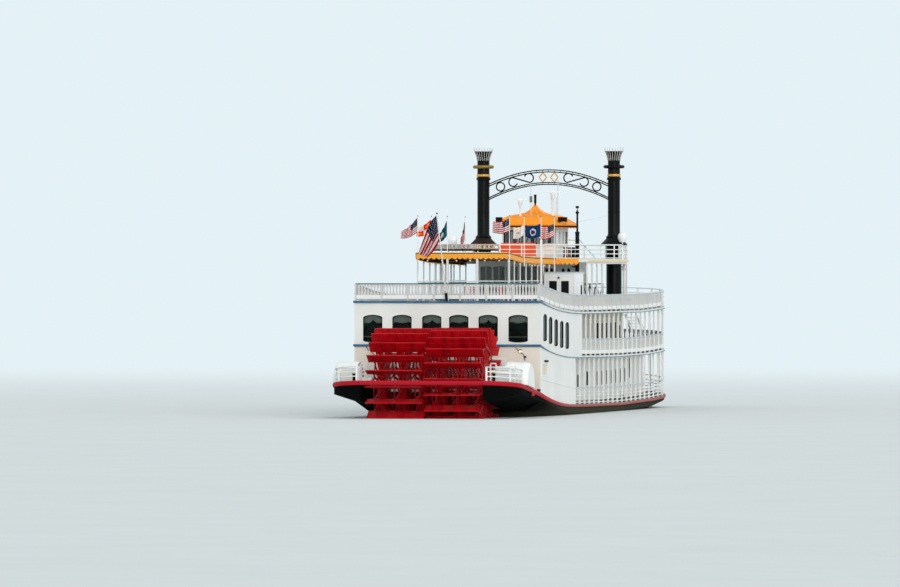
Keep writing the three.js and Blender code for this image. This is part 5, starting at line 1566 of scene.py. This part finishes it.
def make_pilothouse():
    bm = bmesh.new()
    glass = bmesh.new()
    across = ((-1.7, -0.65), (-0.5, 0.5), (0.65, 1.7))
    along = [(PILOT_AFT + low, PILOT_AFT + low + 1) for low in (0.25, 1.5, 2.75)]
    walls = [(cross_wall(PILOT_AFT, -1), across), (cross_wall(PILOT_FORE, 1), across)]
    walls += [(long_wall(sign * PILOT_HALF), along) for sign in SIDES.values()]
    sill, head = PILOT_SILL, PILOT_HEAD
    for at, panes in walls:
        for low, high in panes:
            centre, half = (low + high) / 2, (high - low) / 2
            outer = window_outline(centre, half + 0.05, sill - 0.05, head + 0.05)
            inner = window_outline(centre, half - 0.03, sill + 0.03, head - 0.03)
            frame_ring(bm, at, outer, inner, -0.03, 0.025, 0 if low > PILOT_AFT else 1)
            # The two aft panes of each side wall take the pale glass, a painted sky reflection.
            pane(glass, at, window_outline(centre, half - 0.02, sill + 0.02, head - 0.02), -0.05, -0.04,
                 1 if PILOT_AFT < low < PILOT_AFT + 2 else 0)
        wall_box(bm, at, (panes[0][0] - 0.1, panes[-1][1] + 0.1), (sill - 0.16, sill - 0.1), -0.01, 0.05)
        for low, high in panes:
            wall_box(bm, at, (low, high), (10.3, 10.85), -0.01, 0.02)
    finished(bm, "pilothouse_joinery", [BRIGHT_WHITE, DARK])
    finished(glass, "pilothouse_glass", [GLASS, SKY_REFLECTION_GLASS])
    bm = bmesh.new()
    box(bm, (29.6, -0.5, BRIDGE_TOP), (30.2, 0.5, BRIDGE_TOP + 1.05))
    tube(bm, [(29.5, y, z) for y, z in arc_points((0, 11.1), 0.62, 24)[:-1]], 0.03, 1, True)
    for y, z in arc_points((0, 11.1), 0.75, 8)[:-1]:
        rod(bm, (29.5, 0, 11.1), (29.5, y, z), 0.018, 6, material=1)
    finished(bm, "steering_wheel", [DARK, BROWN])


def make_pilothouse_roof():
    """The tent roof with its hips, finial, radar masts and boxes."""
    bm = bmesh.new()
    cx, hx, hy = (PILOT_AFT + PILOT_FORE) / 2, (PILOT_FORE - PILOT_AFT) / 2 + 0.5, PILOT_HALF + 0.5
    profile = ((1, 12.2), (1, 12.38), (0.97, 12.44), (0.8, 12.71), (0.65, 12.91), (0.5, 12.99), (0.35, 13.05),
               (0.22, 13.16), (0.12, 13.36), (0.06, 13.55), (0.03, 13.66))
    corner = lambda f, sx, sy, z: (cx + sx * hx * f, sy * hy * f, z)
    signs = ((-1, -1), (1, -1), (1, 1), (-1, 1))
    loft(bm, [[corner(f, sx, sy, z) for sx, sy in signs] for f, z in profile])
    for sx, sy in signs:
        tube(bm, [corner(f, sx, sy, z + 0.012) for f, z in profile[2:]], 0.04, 1)
    for sy in (-1, 1):
        for sx in (-0.33, 0.33):
            tube(bm, [corner(f, sx, sy, z + 0.012) for f, z in profile[2:-1]], 0.03, 1)
            tube(bm, [corner(f, sy, sx, z + 0.012) for f, z in profile[2:-1]], 0.03, 1)
    ends = [corner(1, sx, sy, 12.3) for sx, sy in signs]
    for a, b in zip(ends, ends[1:] + ends[:1]):
        inward = (Vector((cx, 0, 12.3)) - (Vector(a) + Vector(b)) / 2).normalized() * 0.02
        scallops(bm, [a, b], 0.1, inward, 0.3, 0.07)
    turned(bm, [(0, 13.55), (0.06, 13.55), (0.06, 13.8), (0.085, 13.83), (0.085, 14.3), (0.1, 14.32),
                (0.1, 14.38), (0, 14.38)], (cx, 0), 14, 2)
    for y, top, foot, _ in RADARS.values():
        turned(bm, [(0, foot - 0.3), (0.1, foot - 0.3), (0.05, foot + 0.3), (0.05, top - 0.5),
                    (0.09, top - 0.42), (0.14, top - 0.24), (0.15, top - 0.02), (0, top - 0.02)],
               (RADAR_X, y), 14, 3)
    # The starboard mast's ladder
    x, y = RADAR_X + 0.1, RADARS["starboard"][0]
    for k in range(4):
        low = 12.8 + 0.34 * k
        for off in (-0.13, 0.13):
            rod(bm, (x, y + off, low), (x, y - off, low + 0.34), 0.012, 6, material=3)
    for off in (-0.13, 0.13):
        rod(bm, (x, y + off, 12.5), (x, y + off, 14.2), 0.02, 6, material=3)
    finished(bm, "tent_roof", [ROOF_ORANGE, SEAM, STACK_BLACK, ENAMEL],
             replaces=["pilothouse_roof"])
    for side, (y, top, _, length) in RADARS.items():
        bm = bmesh.new()
        low = top + 0.0006
        shape = [(-0.06, low), (0.06, low), (0.06, low + 0.06), (0.03, low + 0.1), (-0.03, low + 0.1),
                 (-0.06, low + 0.06)]
        half = length / 2
        loft(bm, [[(RADAR_X + x * f, y + t, z) for x, z in shape]
                  for t, f in ((-half, 0.7), (-half + 0.05, 1), (half - 0.05, 1), (half, 0.7))])
        finished(bm, f"radar_bar_{side}", [ENAMEL], f"radar_{side}", [f"radar_{side}"])


def stack_pieces(side, sign):
    """One stack: column, skirt, shaft with bands and torus, and a crown of silver spikes."""
    centre = (STACK_X, sign * STACK_Y)
    around = lambda r, a, z: (centre[0] + r * math.cos(a), centre[1] + r * math.sin(a), z)
    bm = bmesh.new()
    low = floor_at(THIRD, STACK_X)
    turned(bm, [(0, low), (0.56, low), (0.56, low + 0.12), (0.515, low + 0.16), (0.515, 10.7), (0.515, 11.02),
                (0, 11.02)], centre, STACK_SIDES)
    turned(bm, [(0.5, 11.0), (0.9, 11.02), (0.9, 11.08), (0.62, 11.36), (0.5, 11.5), (0.5, 11.0)], centre,
           STACK_SIDES, 1 if sign > 0 else 0)
    shaft = [(0, 11.4), (0.52, 11.4), (0.53, 11.48), (0.53, 11.6), (0.46, 11.64), (0.43, 11.7), (0.41, 11.74),
             (0.41, 13.2), (0.425, 13.21), (0.425, 13.25), (0.41, 13.26), (0.41, 15.36), (0.47, 15.4),
             (0.48, 15.52), (0.43, 15.56), (0.41, 15.6), (0.41, 16.7), (0.43, 16.86), (0.48, 17.04),
             (0.57, 17.27), (0.54, 17.27), (0.45, 17.04), (0.39, 16.86), (0.37, 16.6), (0, 16.6)]
    turned(bm, shaft, centre, STACK_SIDES)
    turned(bm, [(0.405, 15.62), (0.445, 15.63), (0.455, 15.7), (0.445, 15.77), (0.405, 15.78),
                (0.405, 15.62)], centre, STACK_SIDES, 2)
    turned(bm, arc_points((0.6, 16.27), 0.115, 14), centre, STACK_SIDES, 4 if sign > 0 else 0)
    for k in range(6):
        a = math.tau * k / 6
        rod(bm, around(0.4, a, 16.27), around(0.5, a, 16.27), 0.03, 6)
    spike = ((0.425, 16.7), (0.445, 16.86), (0.495, 17.04), (0.585, 17.27), (0.665, 17.545))
    for k in range(CROWN_SPIKES):
        a = math.tau * k / CROWN_SPIKES
        for (r0, z0), (r1, z1) in zip(spike, spike[1:]):
            rod(bm, around(r0, a, z0), around(r1, a, z1), 0.02, 6, 0.02 if z1 < 17.5 else 0.01, 3)
    turned(bm, arc_points((0.6, 17.29), 0.02, 8), centre, 32)
    finished(bm, f"stack_shaft_{side}", [STACK_BLACK, BROWN, GOLD, SILVER, OLD_GOLD],
             replaces=[f"stack_{side}"])
    if side == "port":
        stack_collar(centre)


def stack_collar(centre):
    """The cream collar of upright blocks round the port stack."""
    bm = bmesh.new()
    for k in range(COLLAR_TEETH):
        a = math.tau * k / COLLAR_TEETH
        matrix = (Matrix.Translation((*centre, 10.86)) @ Matrix.Rotation(a, 4, "Z")
                  @ Matrix.Translation((0.74, 0, 0)) @ Matrix.Diagonal((0.05, 0.1, 0.26, 1)))
        bmesh.ops.create_cube(bm, size=1, matrix=matrix)
    turned(bm, [(0.52, 10.68), (0.8, 10.68), (0.8, 10.74), (0.52, 10.74), (0.52, 10.68)], centre, 32)
    finished(bm, "stack_collar", [CREAM])


def arch_point(y, top, end):
    """A point of the arch between the stacks, top in the middle and end at both stacks."""
    share = y / ARCH_END
    return (STACK_X, y, top - (top - end) * share * share)


def make_stacks():
    for side, sign in SIDES.items():
        stack_pieces(side, sign)
    bm = bmesh.new()
    steps = [ARCH_END * (k / 20 - 1) for k in range(41)]
    pairs = (((16.07, 15.12), (15.93, 14.98)), ((15.22, 14.2), (15.1, 14.08)))
    for top, end in pairs[0] + pairs[1]:
        for off in (-0.05, 0.05):
            tube(bm, [Vector(arch_point(y, top, end)) + Vector((off, 0, 0)) for y in steps], 0.036)
    for k in range(1, 20):
        y = ARCH_END * (k / 10 - 1)
        for upper, lower in pairs:
            rod(bm, arch_point(y, *upper), arch_point(y, *lower), 0.016, 6)
    for sign in SIDES.values():
        eyelet = arc_points((sign * 3.29, 14.94), 0.285, 24)[:-1]
        tube(bm, [(STACK_X, y, z) for y, z in eyelet], 0.045, 0, True)
        hook = [(2.42 + 0.3 * math.cos(a), 15.26 + 0.3 * math.sin(a))
                for a in (math.radians(d) for d in range(200, 441, 20))]
        eye = [(1.35 + 0.31 * math.cos(a), 15.52 + 0.31 * math.sin(a))
               for a in (math.radians(d) for d in range(254, 19, -18))]
        tube(bm, [(STACK_X, sign * y, z) for y, z in hook + eye], 0.045)
    finished(bm, "arch_bars", [STACK_BLACK], replaces=["stack_arch"])
    bm = bmesh.new()
    lozenge = ((0, 1), (0.55, 0.5), (1, 0), (0.55, -0.5), (0, -1), (-0.55, -0.5), (-1, 0), (-0.55, 0.5))
    for y in (0.39, -0.39):
        tube(bm, [(STACK_X, y + 0.25 * u, 15.57 + 0.3 * v) for u, v in lozenge], 0.045, 0, True)
    finished(bm, "arch_lozenges", [GOLD])


def make_mast():
    """The signal mast beside the deckhouse, with its brackets and stay."""
    x, y = MAST
    bm = bmesh.new()
    foot = floor_at(THIRD, x)
    turned(bm, [(0, foot), (0.135, foot), (0.135, 11.75), (0.16, 11.78), (0.16, 11.86), (0.07, 11.92),
                (0.065, 13.0), (0.065, 13.3), (0, 13.3)], (x, y), 16)
    for z in (13.08, 13.45):
        turned(bm, [(0, z), (0.1, z), (0.12, z + 0.06), (0.12, z + 0.12), (0.05, z + 0.16), (0, z + 0.16)],
               (x, y), 14)
    rod(bm, (x, y, 13.2), (x, y, 13.6), 0.03, 8)
    rod(bm, (x, y, 11.3), (x, y + 0.45, 11.35), 0.03, 8, material=1)
    ball(bm, (x, y + 0.5, 11.35), 0.07, 1, 10, 6)
    rod(bm, (x, y - 0.1, 11.4), (x + 1.5, y - 0.95, BRIDGE_TOP + 0.05), 0.03, 8, material=2)
    rod(bm, (x - 0.05, y + 0.1, 9.55), (x - 0.4, y + 0.25, 9.58), 0.05, 8)
    finished(bm, "signal_mast", [STACK_BLACK, CREAM, RAIL_CAP], replaces=["mast"])


def make_top_gear():
    """Radomes, aerials, boxes and stays above the bridge deck."""
    bm = bmesh.new()
    for x, y, z in ((33.7, -5.12, 11.56), (26.5, 5.0, 11.3)):
        turned(bm, [(0, z - 0.34), (0.2, z - 0.34), (0.27, z - 0.2), (0.31, z), (0.28, z + 0.15),
                    (0.2, z + 0.25), (0.1, z + 0.3), (0, z + 0.31)], (x, y), 24)
        turned(bm, [(0, BRIDGE_TOP), (0.09, BRIDGE_TOP), (0.07, BRIDGE_TOP + 0.1), (0.05, z - 0.4),
                    (0.12, z - 0.34), (0, z - 0.34)], (x, y), 14)
    rod(bm, (27.9, -0.02, 12.8), (27.9, -0.02, 15.1), 0.02, 8, material=3)
    turned(bm, [(0, 13.85), (0.09, 13.85), (0.1, 13.9), (0.1, 14.2), (0.08, 14.27), (0, 14.27)],
           (27.9, -0.02), 12, 4)
    rod(bm, (30.5, -1.34, 12.6), (30.5, -1.34, 15.35), 0.025, 8, material=3)
    rod(bm, (30.5, -1.24, 12.6), (30.5, -1.24, 14.2), 0.02, 8, material=3)
    for y, half in ((2.02, 0.2), (-2.28, 0.28)):
        box(bm, (27.1, y - half, 12.56), (27.5, y + half, 12.87), 2)
        for k in range(4):
            box(bm, (27.06, y - half + 0.02, 12.59 + 0.07 * k), (27.1, y + half - 0.02, 12.62 + 0.07 * k), 1)
        for leg in (y + 0.06 - half, y + half - 0.06):
            rod(bm, (27.3, leg, 12.35), (27.3, leg, 12.57), 0.02, 8, material=1)
    for sign in SIDES.values():
        box(bm, (33.2, sign * 5.0 - 0.05, BRIDGE_TOP), (35.2, sign * 5.0 + 0.05, BRIDGE_TOP + 0.96))
        rod(bm, (STACK_X, sign * 4.1, 13.0), (29.0, sign * 2.3, 12.4), 0.008, 6, material=3)
    finished(bm, "top_gear", [ENAMEL, DARK, BROWN, RAIL_CAP, LENS])


def make_deck_gear():
    """Capstan, bitts and chocks, and the stairs between the second and third decks."""
    bm = bmesh.new()
    z = CAPSTAN_BED[1][2]
    turned(bm, [(0, z), (0.36, z), (0.36, z + 0.1), (0.2, z + 0.2), (0.17, z + 0.45), (0.22, z + 0.65),
                (0.3, z + 0.7), (0.3, z + 0.82), (0.2, z + 0.88), (0, z + 0.88)], (47.2, 0), 24)
    for x, y in ((45.4, 2.9), (45.4, -2.9), (48.9, 0.9), (48.9, -0.9)):
        low = deck_at(MAIN, x)
        bitt = [(0, low), (0.12, low), (0.12, low + 0.4), (0.17, low + 0.44), (0.17, low + 0.5),
                (0, low + 0.5)]
        for off in (-0.3, 0.3):
            turned(bm, bitt, (x + off, y), 16)
        box(bm, (x - 0.5, y - 0.16, low - 0.02), (x + 0.5, y + 0.16, low + 0.06))
    for x, y in ((30.2, -5.75), (41.8, -5.75), (30.2, 5.75), (41.8, 5.75)):
        low = deck_at(MAIN, x)
        box(bm, (x - 0.35, y - 0.1, low), (x + 0.35, y + 0.1, low + 0.14))
        for off in (-0.2, 0.2):
            rod(bm, (x + off, y, low + 0.1), (x + off, y, low + 0.42), 0.08, 12)
    finished(bm, "mooring_gear", [DARK])
    bm = bmesh.new()
    (top_x, top_z), (foot_x, foot_z), treads = (36.9, 6.35), (41.6, 3.86), 11
    for sign in SIDES.values():
        strings = (sign * 4.72, sign * 5.5)
        for y in strings:
            rod(bm, (top_x, y, top_z), (foot_x, y, foot_z), 0.05, 6)
            rod(bm, (top_x, y, top_z), (foot_x, y, foot_z + 0.9), 0.025, 6)
        for k in range(1, treads + 1):
            share = k / (treads + 1)
            x = top_x + (foot_x - top_x) * share
            z = top_z + (foot_z - top_z) * share
            box(bm, (x - 0.13, strings[0], z - 0.02), (x + 0.13, strings[1], z + 0.02))
    finished(bm, "promenade_stairs", [BRIGHT_WHITE])


def flag_grid(columns, rows, place, material, name, folds=(6, 0.35), depth=0.1):
    """A sheet of flag cloth on a grid. place gives a point for shares along the fly and up the hoist.

    Folds counts the half waves along the fly and up the hoist.
    """
    bm = bmesh.new()
    uv = bm.loops.layers.uv.new("cloth")
    made = bmesh.ops.create_grid(bm, x_segments=columns, y_segments=rows, size=0.5)["verts"]
    lay_uv(bm.faces, uv)
    for vert in made:
        u, v = vert.co.x + 0.5, vert.co.y + 0.5
        phase = math.pi * (folds[0] * u + 2 * folds[1] * v)
        wave = math.sin(phase) * depth * min(1, 3 * u)
        ripple = math.sin(2.3 * phase - 5 * v) * depth * 0.3 * min(1, 3 * u)
        vert.co = Vector(place(u, v)) + Vector((wave + ripple, 0, 0.25 * ripple))
    piece = finished(bm, name, [material], smooth=180, recalc=False)
    thicken(piece, 0.003)
    return piece


def bilinear(corners):
    """Points between the hoist's lower and upper ends and the fly's lower and upper ends."""
    hoist_low, hoist_high, fly_low, fly_high = (Vector(corner) for corner in corners)

    def place(u, v):
        hoist, fly = hoist_low.lerp(hoist_high, v), fly_low.lerp(fly_high, v)
        return hoist.lerp(fly, u) - Vector((0, 0, 0.12 * math.sin(math.pi * u)))
    return place


def make_flags():
    rows = (
        # name, side, pole, paint, hoist's foot and head, fly's reach and its two heights below the pole's top
        ("stripes_a", "port", 0, STRIPES, -1.1, -0.15, 1.08, -1.5, -1.05),
        ("orange", "port", 1, FLAG_ORANGE, -1.05, -0.25, 0.95, -1.35, -0.75),
        ("teal", "port", 2, FLAG_TEAL, -1.3, -0.3, 0.62, -1.75, -1.3),
        ("stripes_b", "port", 3, STRIPES, -1.5, -0.3, 0.3, -2.1, -1.6),
        ("stripes_c", "starboard", 0, STRIPES, -1.05, -0.2, 1.08, -1.1, -0.4),
        ("white", "starboard", 1, FLAG_WHITE, -1.25, -0.6, 0.7, -1.5, -0.75),
        ("blue", "starboard", 2, FLAG_BLUE, -1.35, -0.5, 1.02, -1.35, -0.6),
        ("stripes_d", "starboard", 3, STRIPES, -1.3, -0.5, 1.0, -1.5, -0.6),
    )
    for name, side, pole, paint, foot, head, reach, fly_low, fly_high in rows:
        sign = SIDES[side]
        x, y = FLAGPOLES[side][pole] + sign * POLE_ALONG, sign * (FLAGPOLE_Y + POLE_OUT) + 0.036
        z = FLAGPOLE_TOP
        corners = ((x, y, z + foot), (x, y, z + head),
                   (x, y + reach, z + fly_low), (x, y + reach, z + fly_high))
        flag_grid(36, 14, bilinear(corners), paint, f"flag_{name}")
    make_ensign()


def make_ensign():
    bm = bmesh.new()
    foot, head = Vector(ENSIGN_FOOT), Vector(ENSIGN_HEAD)
    rod(bm, foot, head, 0.05, 14, 0.035)
    turned(bm, [(0, head.z - 0.02), (0.045, head.z - 0.02), (0.05, head.z + 0.03), (0.02, head.z + 0.09),
                (0, head.z + 0.1)], (head.x, head.y), 12, 2)
    rod(bm, foot - Vector((0, 0, 0.12)), foot + (head - foot) * 0.07, 0.09, 14, material=2)
    finished(bm, "ensign_pole", [BRIGHT_WHITE, ENAMEL, DARK], replaces=["ensign_staff"])
    lean = (head - foot).normalized()
    at_height = lambda z: foot + lean * ((z - foot.z) / lean.z)
    upper = ((0, 12.85), (0.42, 12.45), (0.9, 11.55), (1.32, 10.75), (1.5, 10.4))
    lower = ((0, 11.25), (0.16, 10.95), (0.4, 10.65), (0.66, 10.38), (0.85, 10.2))

    def along(points, u):
        spot = u * (len(points) - 1)
        k = min(int(spot), len(points) - 2)
        return Vector(points[k]).lerp(Vector(points[k + 1]), spot - k)

    def place(u, v):
        high, low = along(upper, u), along(lower, u)
        reach, z = low.lerp(high, v)
        pole = at_height(z)
        return (pole.x, 0.055 + reach, z)

    piece = flag_grid(48, 48, place, ENSIGN_STRIPES, "ensign_sheet", (1.2, 2.6),
                      0.12)
    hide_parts("ensign")


def assign_cad_materials():
    finishes = {
        "white_paint": WHITE, "hull_black": BLACK, "guard_red": GUARD, "wheel_red": RED, "deck_paint": DECK,
        "canopy_yellow": YELLOW, "stack_black": STACK_BLACK, "engine_iron": DARK, "rudder_black": BLACK,
        "ensign_cloth": STRIPES,
    }
    slots = {row["node"]: row["material_slot"] for row in frame["record"]["subparts"]}
    # Painted light and shade on some CAD parts: warm sunlight on the stern wall, the brighter enamel that
    # makes the stair house look sunlit, and shade on the second deck's promenade walls.
    special = {"main_stern_wall": SUNLIT_STERN_WHITE, "stair_house": ENAMEL, "second_house_port": SHADED_CREAM,
               "second_house_starboard": SHADED_CREAM}
    for name, piece in frame["nodes"].items():
        piece.data.materials.clear()
        piece.data.materials.append(special.get(name, finishes[slots[name]]))


make_camera()
make_stage()
assign_cad_materials()
make_hull()
make_guards()
make_decks()
make_railings()
make_wheel()
make_wheel_housings()
make_windows()
make_promenade_walls()
make_stern_details()
make_awning()
make_canopy_posts()
make_benches()
make_bridge()
make_texas_house()
make_pilothouse()
make_pilothouse_roof()
make_stacks()
make_mast()
make_top_gear()
make_deck_gear()
make_flags()

bpy.context.view_layer.update()
{"cad": [list(corner) for corner in CAD_BOX], "visual": [list(corner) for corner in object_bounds()]}
